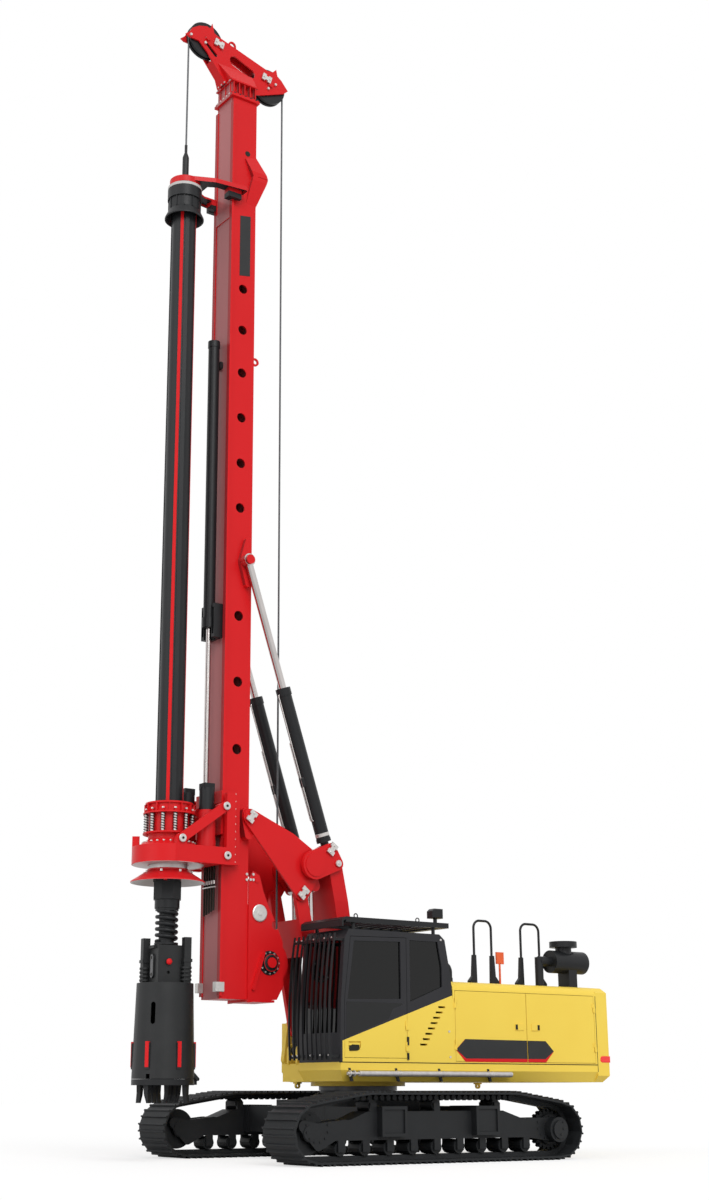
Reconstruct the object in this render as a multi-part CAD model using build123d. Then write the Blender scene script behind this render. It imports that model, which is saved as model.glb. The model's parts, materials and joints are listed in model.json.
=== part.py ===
from build123d import *
import math
import os

# Rotary piling rig on tracks, in millimetres.
# +X is forward, towards the drilling tool; +Y is the machine's left, the cab side; +Z is up.
# The origin is on the ground, on the axis about which the upper machine slews.

# ---- driving dimensions: tracks and undercarriage ----
TRACK_END_X = 2055.0        # idler and sprocket axles
TRACK_DRUM_R = 395.0        # outside of the shoes' ribs round an end
TRACK_TOP_Z = 912.0         # rib tips on the top run
TRACK_TOP_HALF = 1260.0     # half of the level stretch of the top run
TRACK_IN_Y = 1259.0
TRACK_OUT_Y = 1987.0
SHOES = 54                  # shoes on one track
RIB_H = 26.0                # height of a shoe's ribs
SHOE_T = 20.0               # thickness of a shoe's plate
LINK_H = 62.0               # chain links behind the shoes
LINK_W = 190.0              # width of the chain, between the rollers' flanges
FRAME_IN_Y = 1390.0         # side frames
FRAME_OUT_Y = 1850.0
FRAME_TOP_Z = 712.0
FRAME_BOT_Z = 300.0
BEAM_X = 790.0              # axles of the two cross beams
BEAM_W = 410.0
BEAM_Z0 = 340.0
BEAM_Z1 = 716.0
BODY_TOP_Z = 880.0
BOTTOM_ROLLER_R = 92.0
CARRIER_R = 70.0
BOTTOM_ROLLERS = 9
CHORD_SAG = 18.0            # the chain's flat links cut this far inside its circle

# ---- driving dimensions: slewing ring and upper machine ----
SLEW_Z0 = 915.0
SLEW_SPLIT_Z = 972.0
DECK_BOT_Z = 1030.0
DECK_Z = 1273.0
RING_LOW_R = 535.0
RING_UP_R = 670.0
RING_TEETH = 36
HALF_W = 1450.0             # half width over the panels
DECK_PLATE = 16.0
DECK_BAYS = 5
LUG_R = 22.0                # hole of each lashing lug
LUG_Y = 1240.0
RIGHT_FRONT_X = 340.0       # the deck ends here on the right
TANK_FRONT_X = -150.0
TOOL_BOX_Z = 1870.0         # top of the low box before the tank
SKIRT_IN = 95.0             # the skirt's lower edge is bent in by this
SKIRT_BEND_Z = DECK_Z - 100
DECK_FRONT_X = 1332.0
HOUSE_FRONT_X = -585.0
DOOR_MID_X = -1934.0
CW_FRONT_X = -3294.0
CW_CORNER_X = -3524.0
CW_TAIL_X = -3750.0
HOOD_TOP_Z = 2377.0
HOOD_ROUND = 120.0
PANEL_T = 45.0
SLOT_HALF = 455.0           # clear width beside the boom, half

# ---- driving dimensions: cab ----
CAB_IN_Y = SLOT_HALF + 23
CAB_OUT_Y = HALF_W
CAB_WALL = 55.0
CAB_ROOF_Z = 3005.0
CAB_DOOR_X0 = 222.0         # rear edge of the door, on its hinges
CAB_DOOR_X1 = 1262.0
CAB_GAP = 6.0               # gap round doors
GUARD_Z = 3165.0            # top of the roof guard
GUARD_FRONT_X = 1240.0
GUARD_BARS = 10

# ---- driving dimensions: boom linkage, points in the XZ plane ----
BOOM_FOOT = (840.0, 1750.0)
BOOM_HEAD = (1230.0, 3574.0)
LINK_HEAD = (690.0, 4014.0)
LINK_FOOT = (BOOM_FOOT[0] + LINK_HEAD[0] - BOOM_HEAD[0],
             BOOM_FOOT[1] + LINK_HEAD[1] - BOOM_HEAD[1])
MAST_PIN = (2107.0, 4571.0)
LUFF_FOOT = (800.0, 4210.0)
LUFF_MAST = (2180.0, 8320.0)
LUFF_Y = 370.0
BOSS = (1075.0, 3970.0)
BOOM_CYL_FOOT = (900.0, 1450.0)
BOOM_CYL_HEAD = (965.0, 3700.0)
BOOM_CYL_Y = 195.0
EYE_PLAY = 22.0             # how far a rod's open eye may drift from its pin
SEAT = 0.3                  # play where one piece rests on or turns in another
SIDE_GAP = 6.0              # between an eye and the lugs beside it

# ---- driving dimensions: mast ----
MAST_X0 = 2034.0
MAST_X1 = 2491.0
MAST_HALF = 234.0
MAST_Z0 = 2100.0
MAST_Z1 = 16080.0
MAST_WALL = 22.0
RAIL_IN_Y = MAST_HALF - 38  # guide rails along the mast's front edges
RAIL_OUT_Y = MAST_HALF + 34
RAIL_T = 40.0
RAIL_RISE = 16.0            # how far the rails stand out from the front plate
RAIL_GAP = 8.0              # between the rails and what slides on them
KNUCKLE = (1905.0, 14705.0)  # on which the mast's top folds for transport
BRACKET_HALF = RAIL_IN_Y - 16  # the crowd cylinder's bracket, between the rails
NECK_Z = MAST_Z1 + 270      # underside of the head's neck
HEAD_HALF = 92.0            # half width over the head's two plates
HEAD_PLATE = 24.0
KELLY_X = 3180.0
KELLY_R = 180.0
KEY_R = 195.5
FRONT_SHEAVE = (2890.0, NECK_Z + 660)
REAR_SHEAVE = (1690.0, NECK_Z + 250)
SHEAVE_R = 290.0
HEAD_EYE = (2375.0, NECK_Z + 780)
HEAD_EYE_R = 42.0
DRUM = (1690.0, 2600.0)
DRUM_ROPE_R = 290.0
ROPE_R = 14.0
CROWD_X = 2604.0
CROWD_R = 85.0
CROWD_BOT_Z = 7370.0
CROWD_TOP_Z = 11730.0
CROWD_ROD_R = 38.0

# ---- driving dimensions: rotary drive and drilling tool ----
DRIVE_Z0 = 3862.0
DRIVE_Z1 = 4096.0
DRIVE_R = 500.0
NECK_R = 285.0              # neck and basket tube above the drive
FLANGE_Z = 4288.0           # on which the buffer basket stands
DRIVE_BORE_R = 235.0
DRIVE_PINS = [(2560.0, 4667.0), (2537.0, 3989.0)]
BRACE_PIN = (3250.0, 4172.0)
DRIVE_PIN_R = 35.0
MOTOR_X = 2745.0
MOTOR_Y = 268.0
MOTOR_R = 126.0
CARRIAGE_Y0 = RAIL_OUT_Y + RAIL_GAP
CARRIAGE_Y1 = CARRIAGE_Y0 + 70
ARM_Y0 = CARRIAGE_Y1 + 64
ARM_Y1 = ARM_Y0 + 70
ARM_REAR_X = 2405.0
ARM_FRONT_X = 3337.0
BASKET_R = 360.0
STUDS = 12
CONE_RIM_R = 508.0
CONE_Z0 = 3620.0
CONE_Z1 = 3782.0
CARRIAGE_Z0 = 3890.0
CARRIAGE_Z1 = 4910.0
KELLY_FOOT_Z0 = 3276.0
KELLY_COLLAR_Z = 3393.0
KELLY_FOOT_Z1 = 3635.0
KELLY_TOP_Z = 14180.0
GUIDE_Z = 14370.0           # top of the kelly guide's plate
SWIVEL_TOP_Z = 15020.0
TOOL_TOP_Z = 2780.0
TOOL_SHOULDER_Z = 2285.0
TOOL_BOT_Z = 980.0
TOOL_TIP_Z = 755.0
TOOL_R = 415.0              # at the barrel's lower edge
TOOL_TOP_R = 380.0
TOOL_HEAD = 355.0           # side of the square kelly box
TOOL_TURN = -8.0            # degrees about the kelly
GATE_PIN_R = 12.0
TOOL_WALL = 18.0
GATE_Z = 1060.0            # lower edge of the bucket's barrel, on its gate
GATE_HINGE = (KELLY_X - TOOL_R - 35, GATE_Z - 2.5)


# ---- shared shapes ----
def block(x0, x1, y0, y1, z0, z1):
    """Box from its corners."""
    centre = Pos((x0 + x1) / 2, (y0 + y1) / 2, (z0 + z1) / 2)
    return centre * Box(x1 - x0, y1 - y0, z1 - z0)


def on_xz(sketch, y0, y1):
    """Plate whose outline, drawn as (X, Z), reaches from y0 to y1."""
    return extrude(Plane.XZ.offset(-y1) * sketch, y1 - y0)


def on_yz(sketch, x0, x1):
    """Bar whose section, drawn as (Y, Z), reaches from x0 to x1."""
    return extrude(Plane.YZ.offset(x0) * sketch, x1 - x0)


def on_xy(sketch, z0, z1):
    """Plate whose outline, drawn as (X, Y), reaches from z0 to z1."""
    return extrude(Plane.XY.offset(z0) * sketch, z1 - z0)


def outline(points):
    """Closed straight-sided outline."""
    return make_face(Polyline(*points, close=True))


def disc(point, r):
    return Pos(*point) * Circle(r)


def many_sided(r):
    """Roller's outline as a twelve-sided figure resting on one corner."""
    return Rot(0, 0, 90) * RegularPolygon(r, 12)


def strap(*rounds):
    """Outline tied tightly round circles given as (point, radius)."""
    edges = []
    for point, r in rounds:
        edges += disc(point, r).edges()
    return make_hull(edges)


def rod_y(point, r, y0, y1):
    """Round bar along Y at an (X, Z) point."""
    return on_xz(disc(point, r), y0, y1)


def rod_z(x, y, r, z0, z1):
    """Round bar along Z."""
    return Pos(x, y, (z0 + z1) / 2) * Cylinder(r, z1 - z0)


def tube_between(start, end, y, r, bore=0.0):
    """Round bar or tube between two (X, Z) points at a Y."""
    dx = end[0] - start[0]
    dz = end[1] - start[1]
    length = math.hypot(dx, dz)
    plane = Plane(origin=(start[0], y, start[1]), z_dir=(dx, 0, dz))
    section = Circle(r)
    if bore:
        section -= Circle(bore)
    return extrude(plane * section, length)


def along(start, end, distance):
    """Point at a distance from start towards end, in XZ."""
    dx = end[0] - start[0]
    dz = end[1] - start[1]
    length = math.hypot(dx, dz)
    return (start[0] + dx * distance / length, start[1] + dz * distance / length)


def turned(profile):
    """Round piece about the kelly's axis, from a closed outline of (radius, Z)."""
    return Pos(KELLY_X, 0, 0) * revolve(Plane.XZ * outline(profile), Axis.Z)


def round_kelly(shape, angle):
    """A shape drawn about the Z axis, set on the kelly's axis and turned in degrees."""
    return Pos(KELLY_X, 0, 0) * Rot(0, 0, angle) * shape


def both_sides(shape):
    """The shape with its mirror image across the machine's middle plane."""
    return shape + mirror(shape, Plane.XZ)


def save(name, shape):
    shape = Compound(children=list(shape.solids()))
    export_step(shape, f"parts/{name}.step")


# ---- tracks ----
def track_path(inset):
    """Closed line of a track, inset from the rib tips, as (x, z, outward x, outward z)."""
    r = TRACK_DRUM_R - inset
    top_z = TRACK_TOP_Z - inset
    centre_z = TRACK_DRUM_R
    gap_x = TRACK_END_X - TRACK_TOP_HALF
    gap_z = top_z - centre_z
    away = math.hypot(gap_x, gap_z)
    lean = math.acos(r / away)
    toward = math.atan2(gap_z, -gap_x)
    tangent = toward - lean
    points = []
    steps = 48
    for i in range(steps + 1):
        angle = -math.pi / 2 + (tangent + math.pi / 2) * i / steps
        points.append((TRACK_END_X + r * math.cos(angle), centre_z + r * math.sin(angle)))
    points.append((TRACK_TOP_HALF, top_z))
    return points + [(-x, z) for x, z in reversed(points)]


def walk(points, count):
    """Evenly spaced points along a closed line."""
    closed = points + points[:1]
    lengths = [math.dist(a, b) for a, b in zip(closed, closed[1:])]
    pitch = sum(lengths) / count
    found = []
    travelled = 0.0
    target = 0.0
    for a, b, length in zip(closed, closed[1:], lengths):
        while target < travelled + length and len(found) < count:
            share = (target - travelled) / length
            found.append((a[0] + (b[0] - a[0]) * share, a[1] + (b[1] - a[1]) * share))
            target += pitch
        travelled += length
    return found


# share of the pitch, height over the shoe's plate
SHOE_PROFILE = [(0.04, 0.0), (0.08, 1.0), (0.17, 1.0), (0.22, 0.0),
                (0.62, 0.0), (0.66, 1.0), (0.75, 1.0), (0.80, 0.0)]


def track(side):
    joints = walk(track_path(RIB_H + SHOE_T), SHOES)
    outer = []
    for a, b in zip(joints, joints[1:] + joints[:1]):
        length = math.dist(a, b)
        tx = (b[0] - a[0]) / length
        tz = (b[1] - a[1]) / length
        for share, rise in SHOE_PROFILE:
            h = SHOE_T + RIB_H * rise
            s = length * share
            outer.append((a[0] + tx * s + tz * h, a[1] + tz * s - tx * h))
    inner = walk(track_path(RIB_H + SHOE_T + 4), SHOES)
    chain_in = walk(track_path(RIB_H + SHOE_T + LINK_H), SHOES)
    y0, y1 = sorted((side * TRACK_IN_Y, side * TRACK_OUT_Y))
    middle = (y0 + y1) / 2
    shoes = on_xz(outline(outer) - outline(inner), y0, y1)
    chain = on_xz(outline(joints) - outline(chain_in), middle - LINK_W / 2, middle + LINK_W / 2)
    return shoes + chain


# ---- undercarriage ----
def toothed_wheel(point, r, teeth, y0, y1):
    """Sprocket with straight-sided teeth."""
    rim = []
    for i in range(teeth):
        for share, radius in ((0.0, r - 34), (0.3, r - 34), (0.45, r), (0.85, r)):
            angle = 2 * math.pi * (i + share) / teeth
            rim.append((point[0] + radius * math.cos(angle), point[1] + radius * math.sin(angle)))
    return on_xz(outline(rim), y0, y1)


def track_frame(side):
    """Side frame with its rollers, idler, sprocket and the covers of the final drive."""
    middle = side * (TRACK_IN_Y + TRACK_OUT_Y) / 2
    low, high = middle - 165, middle + 165
    walls = ((low, low + 60), (high - 60, high))
    beam = on_xz(outline([(-1560, FRAME_BOT_Z), (1480, FRAME_BOT_Z), (1800, 360),
                          (1800, 470), (1400, 560), (1150, FRAME_TOP_Z - 60),
                          (-1150, FRAME_TOP_Z - 60), (-1450, 560), (-1620, 520)]), low, high)
    front = (TRACK_END_X, TRACK_DRUM_R)
    rear = (-TRACK_END_X, TRACK_DRUM_R)
    wheel_r = TRACK_DRUM_R - RIB_H - SHOE_T - LINK_H - CHORD_SAG
    wheels = rod_y(front, wheel_r, middle - 80, middle + 80)
    wheels += toothed_wheel(rear, wheel_r, 21, middle - 45, middle + 45)
    wheels += rod_y(rear, wheel_r - 70, middle - 90, middle + 90)
    for centre in (front, rear):
        wheels += rod_y(centre, 95, middle - 175, middle + 175)
    yoke = strap((front, 105), ((1500, 430), 125)) + strap(((1920, 250), 70), ((2150, 480), 70), ((1700, 380), 90))
    drive = strap((rear, 160), ((-1500, 430), 120))
    for y0, y1 in walls:
        wheels += on_xz(yoke, y0, y1) + on_xz(drive, y0, y1)
    outer = side * (TRACK_OUT_Y - 70)
    inner = side * (TRACK_IN_Y + 60)
    cover = rod_y(rear, 165, *sorted((middle + side * 100, outer)))
    cover += rod_y(rear, 120, *sorted((outer - side * 5, outer + side * 30)))
    cover += rod_y(rear, 150, *sorted((middle - side * 100, inner)))
    rollers = Part()
    floor = RIB_H + SHOE_T + LINK_H
    axle_z = floor + BOTTOM_ROLLER_R + SEAT
    for i in range(BOTTOM_ROLLERS):
        x = -1560 + i * 3120 / (BOTTOM_ROLLERS - 1)
        rollers += on_xz(Pos(x, axle_z) * many_sided(BOTTOM_ROLLER_R), middle - 130, middle + 130)
        for y0, y1 in ((low, low + 38), (high - 38, high)):
            rollers += block(x - 55, x + 55, y0, y1, floor + 50, FRAME_BOT_Z + 5)
    axle_z = TRACK_TOP_Z - RIB_H - SHOE_T - LINK_H - CARRIER_R - SEAT
    for x in (-1050, 0, 1050):
        rollers += on_xz(Pos(x, axle_z) * many_sided(CARRIER_R), middle - 130, middle + 130)
        for y0, y1 in ((low, low + 38), (high - 38, high)):
            rollers += block(x - 50, x + 50, y0, y1, FRAME_TOP_Z - 120, axle_z + 25)
    frame = beam + wheels + cover + rollers
    start, end = sorted((side * (FRAME_IN_Y - 60), side * (FRAME_OUT_Y + 50)))
    for x in (-BEAM_X, BEAM_X):
        cap = block(x - BEAM_W / 2, x + BEAM_W / 2, start, end, BEAM_Z0, BEAM_Z1)
        face = end if side > 0 else start
        cap -= block(x - BEAM_W / 2 + 40, x + BEAM_W / 2 - 40, face - 25, face + 25, BEAM_Z0 + 40, BEAM_Z1 - 40)
        frame += cap
    return frame


def carbody():
    body = on_xy(RectangleRounded(1980, 1560, 260), 430, 790)
    top = loft([Plane.XY.offset(785) * Circle(760), Plane.XY.offset(BODY_TOP_Z) * Circle(RING_LOW_R + 40)])
    body += top + rod_z(0, 0, RING_LOW_R, BODY_TOP_Z - 5, SLEW_Z0)
    end = FRAME_IN_Y - 60
    for x in (-BEAM_X, BEAM_X):
        low, high = x - BEAM_W / 2 + 15, x + BEAM_W / 2 - 15
        body += block(low, high, -end, end, BEAM_Z0 + 10, BEAM_Z1 - 10)
    body -= rod_z(0, 0, 300, 300, SLEW_Z0 + 10)
    for x in (-1, 1):
        step = strap(((x * 1010, 520), 40), ((x * 1010, 640), 40))
        body += on_xz(step - disc((x * 1020, 580), 26), -60, 60)
    return body


def slew_ring():
    """Toothed inner race on the carbody."""
    ring = rod_z(0, 0, RING_LOW_R + 20, SLEW_Z0, SLEW_SPLIT_Z)
    bore = Circle(RING_LOW_R - 130)
    for i in range(RING_TEETH):
        bore += Rot(0, 0, 360 * i / RING_TEETH) * Pos(RING_LOW_R - 126, 0) * Rectangle(44, 26)
    return ring - on_xy(bore, SLEW_Z0 - 5, SLEW_SPLIT_Z + 5)


# ---- upper machine ----
def skirt_section():
    half = HALF_W
    return outline([(half, DECK_Z), (half, SKIRT_BEND_Z), (half - SKIRT_IN, DECK_BOT_Z),
                    (SKIRT_IN - half, DECK_BOT_Z), (-half, SKIRT_BEND_Z), (-half, DECK_Z)])


def upper_frame():
    """Deck with the upper race of the slewing ring and the plates that carry the boom."""
    deck = on_yz(skirt_section(), CW_FRONT_X, DECK_FRONT_X)
    deck -= block(980, DECK_FRONT_X + 10, -SLOT_HALF, SLOT_HALF, DECK_BOT_Z - 10, DECK_Z + 10)
    deck -= block(RIGHT_FRONT_X, DECK_FRONT_X + 10, -HALF_W - 10, -SLOT_HALF, DECK_BOT_Z - 10, DECK_Z + 10)
    plate = DECK_PLATE
    bay = outline([(HALF_W - plate, DECK_Z - plate), (HALF_W - plate, SKIRT_BEND_Z),
                   (HALF_W - SKIRT_IN - plate, DECK_BOT_Z - 5), (690, DECK_BOT_Z - 5), (690, DECK_Z - plate)])
    for side, front, bays in ((1, DECK_FRONT_X, DECK_BAYS), (-1, RIGHT_FRONT_X, DECK_BAYS - 1)):
        bend = outline([(front + 5, SKIRT_BEND_Z), (front, SKIRT_BEND_Z), (front - SKIRT_IN, DECK_BOT_Z),
                        (front - SKIRT_IN, DECK_BOT_Z - 5), (front + 5, DECK_BOT_Z - 5)])
        y0, y1 = sorted((side * SLOT_HALF, side * (HALF_W + 5)))
        deck -= on_xz(bend, y0, y1)
        length = (front - SKIRT_IN - CW_FRONT_X) / bays
        for i in range(bays):
            start = CW_FRONT_X + i * length + plate
            hollow = on_yz(bay, start, start + length - 2 * plate)
            deck -= hollow if side > 0 else mirror(hollow, Plane.XZ)
    deck += rod_z(0, 0, RING_UP_R, SLEW_SPLIT_Z + SEAT, DECK_BOT_Z + 5)
    side = strap((LINK_FOOT, 135), (BOOM_FOOT, 125), ((-180, 1330), 60), ((960, 1330), 60))
    side -= strap(((80, 1600), 90), ((330, 1560), 90))
    plates = on_xz(side, 368, 448)
    foot = strap((BOOM_CYL_FOOT, 95), ((760, 1290), 40), ((960, 1290), 40))
    lugs = on_xz(foot, 282, 330) + on_xz(foot, 60, 108)
    pins = rod_y(BOOM_FOOT, 55, 284, 447) + rod_y(LINK_FOOT, 45, 200, 447)
    pins += rod_y(BOOM_CYL_FOOT, 40, 60, 330)
    return deck + both_sides(plates) + both_sides(lugs) + both_sides(pins)


def lashing_lugs():
    """Two lashing lugs under the deck's right side, before and behind, each on its foot."""
    lugs = Part()
    for x in (RIGHT_FRONT_X - SKIRT_IN - 46, CW_FRONT_X + 46):
        hole = (x, DECK_BOT_Z - 50)
        plate = strap((hole, LUG_R + 18), ((x, DECK_BOT_Z - 22), 40)) - disc(hole, LUG_R)
        lug = on_xz(plate, -20 - LUG_Y, 20 - LUG_Y)
        lug -= block(x - 60, x + 60, -50 - LUG_Y, 50 - LUG_Y, DECK_BOT_Z - 10, DECK_BOT_Z + 90)
        lugs += lug + block(x - 44, x + 44, -50 - LUG_Y, 50 - LUG_Y, DECK_BOT_Z - 20, DECK_BOT_Z - SEAT)
    return lugs


def counterweight():
    """Cast tail weight, rounded behind, with its edges cut back."""
    tail = make_face(Polyline((CW_FRONT_X, HALF_W), (CW_CORNER_X, HALF_W))
                     + ThreePointArc((CW_CORNER_X, HALF_W), (CW_TAIL_X, 0), (CW_CORNER_X, -HALF_W))
                     + Polyline((CW_CORNER_X, -HALF_W), (CW_FRONT_X, -HALF_W))
                     + Line((CW_FRONT_X, -HALF_W), (CW_FRONT_X, HALF_W)))
    weight = on_xy(tail, DECK_BOT_Z, HOOD_TOP_Z - 6)
    for index, cut in ((-1, 70), (0, 90)):
        rim = weight.faces().sort_by(Axis.Z)[index].edges()
        weight = chamfer(rim.filter_by(lambda e: e.center().X < CW_FRONT_X - 20), cut)
    eye = strap(((-3420, HOOD_TOP_Z + 30), 34), ((-3420, HOOD_TOP_Z - 20), 40)) - disc((-3420, HOOD_TOP_Z + 30), 17)
    return weight + both_sides(on_xz(eye, 640, 680))


def hood_section(inset):
    """Section of the engine house, as (Y, Z), with its long top edges rounded."""
    half = HALF_W - inset
    top = HOOD_TOP_Z - inset
    r = HOOD_ROUND - inset
    shape = outline([(half, DECK_Z + inset), (half, top), (-half, top), (-half, DECK_Z + inset)])
    return fillet(shape.vertices().sort_by(Axis.Y)[-2:], r)


# name, X of the hinged edge, X of the free edge of each service door
HOUSE_DOORS = [("front", HOUSE_FRONT_X - 40, DOOR_MID_X + 5),
               ("rear", CW_FRONT_X + 40, DOOR_MID_X - 5)]
HINGE_R = 13.0
HOUSE_HINGE_Z = (1520.0, 2080.0)
HOUSE_DOOR_Z0 = DECK_Z + 25
HOUSE_DOOR_Z1 = HOOD_TOP_Z - HOOD_ROUND - 10


def hood():
    """Engine house: a shell of panels, open where the two left service doors close it."""
    shell = on_yz(hood_section(0), CW_FRONT_X, HOUSE_FRONT_X)
    shell -= on_yz(hood_section(PANEL_T), CW_FRONT_X + PANEL_T, HOUSE_FRONT_X - PANEL_T)
    for _, hinge_x, free_x in HOUSE_DOORS:
        x0, x1 = sorted((hinge_x, free_x))
        shell -= block(x0 - CAB_GAP, x1 + CAB_GAP, HALF_W - PANEL_T - 5, HALF_W + 5,
                       HOUSE_DOOR_Z0 - CAB_GAP, HOUSE_DOOR_Z1 + CAB_GAP)
        sign = 1 if hinge_x > free_x else -1
        for z in HOUSE_HINGE_Z:
            shell -= rod_z(hinge_x, HALF_W + 6, HINGE_R + CAB_GAP, z - SEAT, z + 66)
            shell += block(*sorted((hinge_x + sign * 3, hinge_x + sign * 34)), HALF_W - 20, HALF_W + 6, z - 70, z - SEAT)
            shell += rod_z(hinge_x, HALF_W + 6, HINGE_R, z - 70, z - SEAT) + rod_z(hinge_x, HALF_W + 6, 6, z - 20, z + 50)
    for x0 in (-2950, -2150, -1350):
        for i in range(8):
            z = 1500 + i * 82
            shell -= block(x0, x0 + 560, -HALF_W - 5, -HALF_W + PANEL_T + 5, z, z + 38)
    lid = loft([Plane.XY.offset(HOOD_TOP_Z - 5) * Pos(-2000, -100) * RectangleRounded(2000, 1500, 120),
                Plane.XY.offset(HOOD_TOP_Z + 38) * Pos(-2000, -100) * RectangleRounded(1930, 1430, 100)])
    return shell + lid


def house_door(hinge_x, free_x):
    """Service door with a turned-in edge, its knuckles on the hood's hinge pins."""
    x0, x1 = sorted((hinge_x, free_x))
    door = block(x0, x1, HALF_W - PANEL_T, HALF_W, HOUSE_DOOR_Z0, HOUSE_DOOR_Z1)
    door -= block(x0 + 30, x1 - 30, HALF_W - PANEL_T - 5, HALF_W - 14, HOUSE_DOOR_Z0 + 30, HOUSE_DOOR_Z1 - 30)
    sign = 1 if hinge_x > free_x else -1
    for z in HOUSE_HINGE_Z:
        knuckle = rod_z(hinge_x, HALF_W + 6, HINGE_R, z, z + 60)
        knuckle += block(*sorted((hinge_x - sign * 40, hinge_x)), HALF_W - 10, HALF_W + 6, z, z + 60)
        door -= rod_z(hinge_x, HALF_W + 6, HINGE_R + CAB_GAP, z - 75, z)
        door += knuckle
        door -= rod_z(hinge_x, HALF_W + 6, 6 + SEAT, z - 5, z + 52)
    latch_x = free_x + sign * 130
    door += block(latch_x - 30, latch_x + 30, HALF_W - 5, HALF_W + 10, 1730, 1790)
    return door


def engine():
    return block(-2700, -1150, -560, 500, DECK_Z + PANEL_T, 2050)


def right_box():
    """Tank on the right, and before it the low tool box that is also the step up."""
    boxes = Part()
    for x0, x1, top in ((HOUSE_FRONT_X + 1, TANK_FRONT_X, HOOD_TOP_Z - 40),
                        (TANK_FRONT_X - 5, RIGHT_FRONT_X - 1, TOOL_BOX_Z)):
        shape = outline([(-HALF_W, DECK_Z), (-HALF_W, top), (-SLOT_HALF - 15, top), (-SLOT_HALF - 15, DECK_Z)])
        shape = fillet(shape.vertices().sort_by(Axis.Z)[-2:].sort_by(Axis.Y)[0], HOOD_ROUND - 20)
        boxes += on_yz(shape, x0, x1)
    return boxes + rod_z(-380, -SLOT_HALF - 295, 70, HOOD_TOP_Z - 45, HOOD_TOP_Z - 5)


# ---- cab ----
def cab_outline(inset):
    """Side view of the cab, as (X, Z)."""
    i = inset
    return outline([(HOUSE_FRONT_X + i, DECK_Z + i), (1332 - i, DECK_Z + i), (1334 - i, 1650),
                    (1322 - i, 2080), (1258 - i, 2880), (1190 - i, CAB_ROOF_Z - i),
                    (-370 + i, CAB_ROOF_Z - i), (-462 + i, 2930), (-552 + i, 2450),
                    (HOUSE_FRONT_X + i, 2120)])


DOOR_OUTLINE = [(CAB_DOOR_X0, DECK_Z + 60), (CAB_DOOR_X1, DECK_Z + 60), (CAB_DOOR_X1, 2080),
                (1160, 2905), (CAB_DOOR_X0, 2925)]
DOOR_WINDOW = [(320, 2106), (1215, 2080), (1105, 2850), (320, 2870)]
RIGHT_WINDOW = [(160, 2075), (160, 2880), (1060, 2880), (1180, 2075)]
FRONT_WINDOW_Z0 = 1650.0
VENTS = 8
REAR_WINDOW = [(160, 2075), (160, 2900), (-335, 2900), (-400, 2560), (-400, 2290)]


CAB_HINGE_Z = (1480.0, 1760.0)
CAB_HINGE_R = 12.0


def grown(points, by):
    return offset(outline(points), by, kind=Kind.INTERSECTION)


def cab_shell():
    """Welded cab: floor, roof, pillars and panels, open at its door and windows."""
    shell = on_xz(cab_outline(0), CAB_IN_Y, CAB_OUT_Y)
    shell -= on_xz(cab_outline(CAB_WALL), CAB_IN_Y + CAB_WALL, CAB_OUT_Y - CAB_WALL)
    wall = CAB_OUT_Y - CAB_WALL - 5
    shell -= on_xz(grown(DOOR_OUTLINE, CAB_GAP), wall, CAB_OUT_Y + 5)
    shell -= on_xz(outline(REAR_WINDOW), wall, CAB_OUT_Y + 5)
    shell -= on_xz(outline(RIGHT_WINDOW), CAB_IN_Y - 5, CAB_IN_Y + CAB_WALL + 5)
    front = outline([(CAB_IN_Y + 75, FRONT_WINDOW_Z0), (CAB_OUT_Y - 75, FRONT_WINDOW_Z0),
                     (CAB_OUT_Y - 75, 2860), (CAB_IN_Y + 75, 2860)])
    shell -= on_yz(front, 1150, 1400)
    middle = (CAB_IN_Y + CAB_OUT_Y) / 2
    shell -= on_yz(Pos(middle, 2640) * Rectangle(620, 380), HOUSE_FRONT_X - 20, -360)
    for i in range(VENTS):
        x = -60 - i * 47
        z = 1500 + i * 72
        shell -= block(x - 62, x + 62, wall, CAB_OUT_Y + 5, z, z + 26)
    hinge_y = CAB_OUT_Y + 6
    for z in CAB_HINGE_Z:
        shell += block(CAB_DOOR_X0 - 34, CAB_DOOR_X0 - 7, CAB_OUT_Y - 5, hinge_y + 5, z - 60, z - SEAT)
        shell += block(CAB_DOOR_X0 - 34, CAB_DOOR_X0 + 14, hinge_y - 5, hinge_y + 5, z - 60, z - SEAT)
        shell += rod_z(CAB_DOOR_X0 + 14, hinge_y, CAB_HINGE_R, z - 60, z - SEAT)
        shell += rod_z(CAB_DOOR_X0 + 14, hinge_y, 6, z - 20, z + 48)
    return shell


def cab_glass():
    """Fixed panes of the cab, set in the middle of its walls."""
    band = on_xz(cab_outline(CAB_WALL / 2 - 4), CAB_IN_Y, CAB_OUT_Y)
    band -= on_xz(cab_outline(CAB_WALL / 2 + 4), CAB_IN_Y - 5, CAB_OUT_Y + 5)
    front = block(1150, 1400, CAB_IN_Y + 75 + SEAT, CAB_OUT_Y - 75 - SEAT,
                  FRONT_WINDOW_Z0 + SEAT, 2860 - SEAT)
    middle = (CAB_IN_Y + CAB_OUT_Y) / 2
    rear = block(HOUSE_FRONT_X, -360, middle - 310 + SEAT, middle + 310 - SEAT, 2450 + SEAT, 2830 - SEAT)
    panes = (band & front) + (band & rear)
    y = CAB_OUT_Y - CAB_WALL / 2
    panes += on_xz(grown(REAR_WINDOW, -SEAT), y - 4, y + 4)
    y = CAB_IN_Y + CAB_WALL / 2
    return panes + on_xz(grown(RIGHT_WINDOW, -SEAT), y - 4, y + 4)


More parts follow.
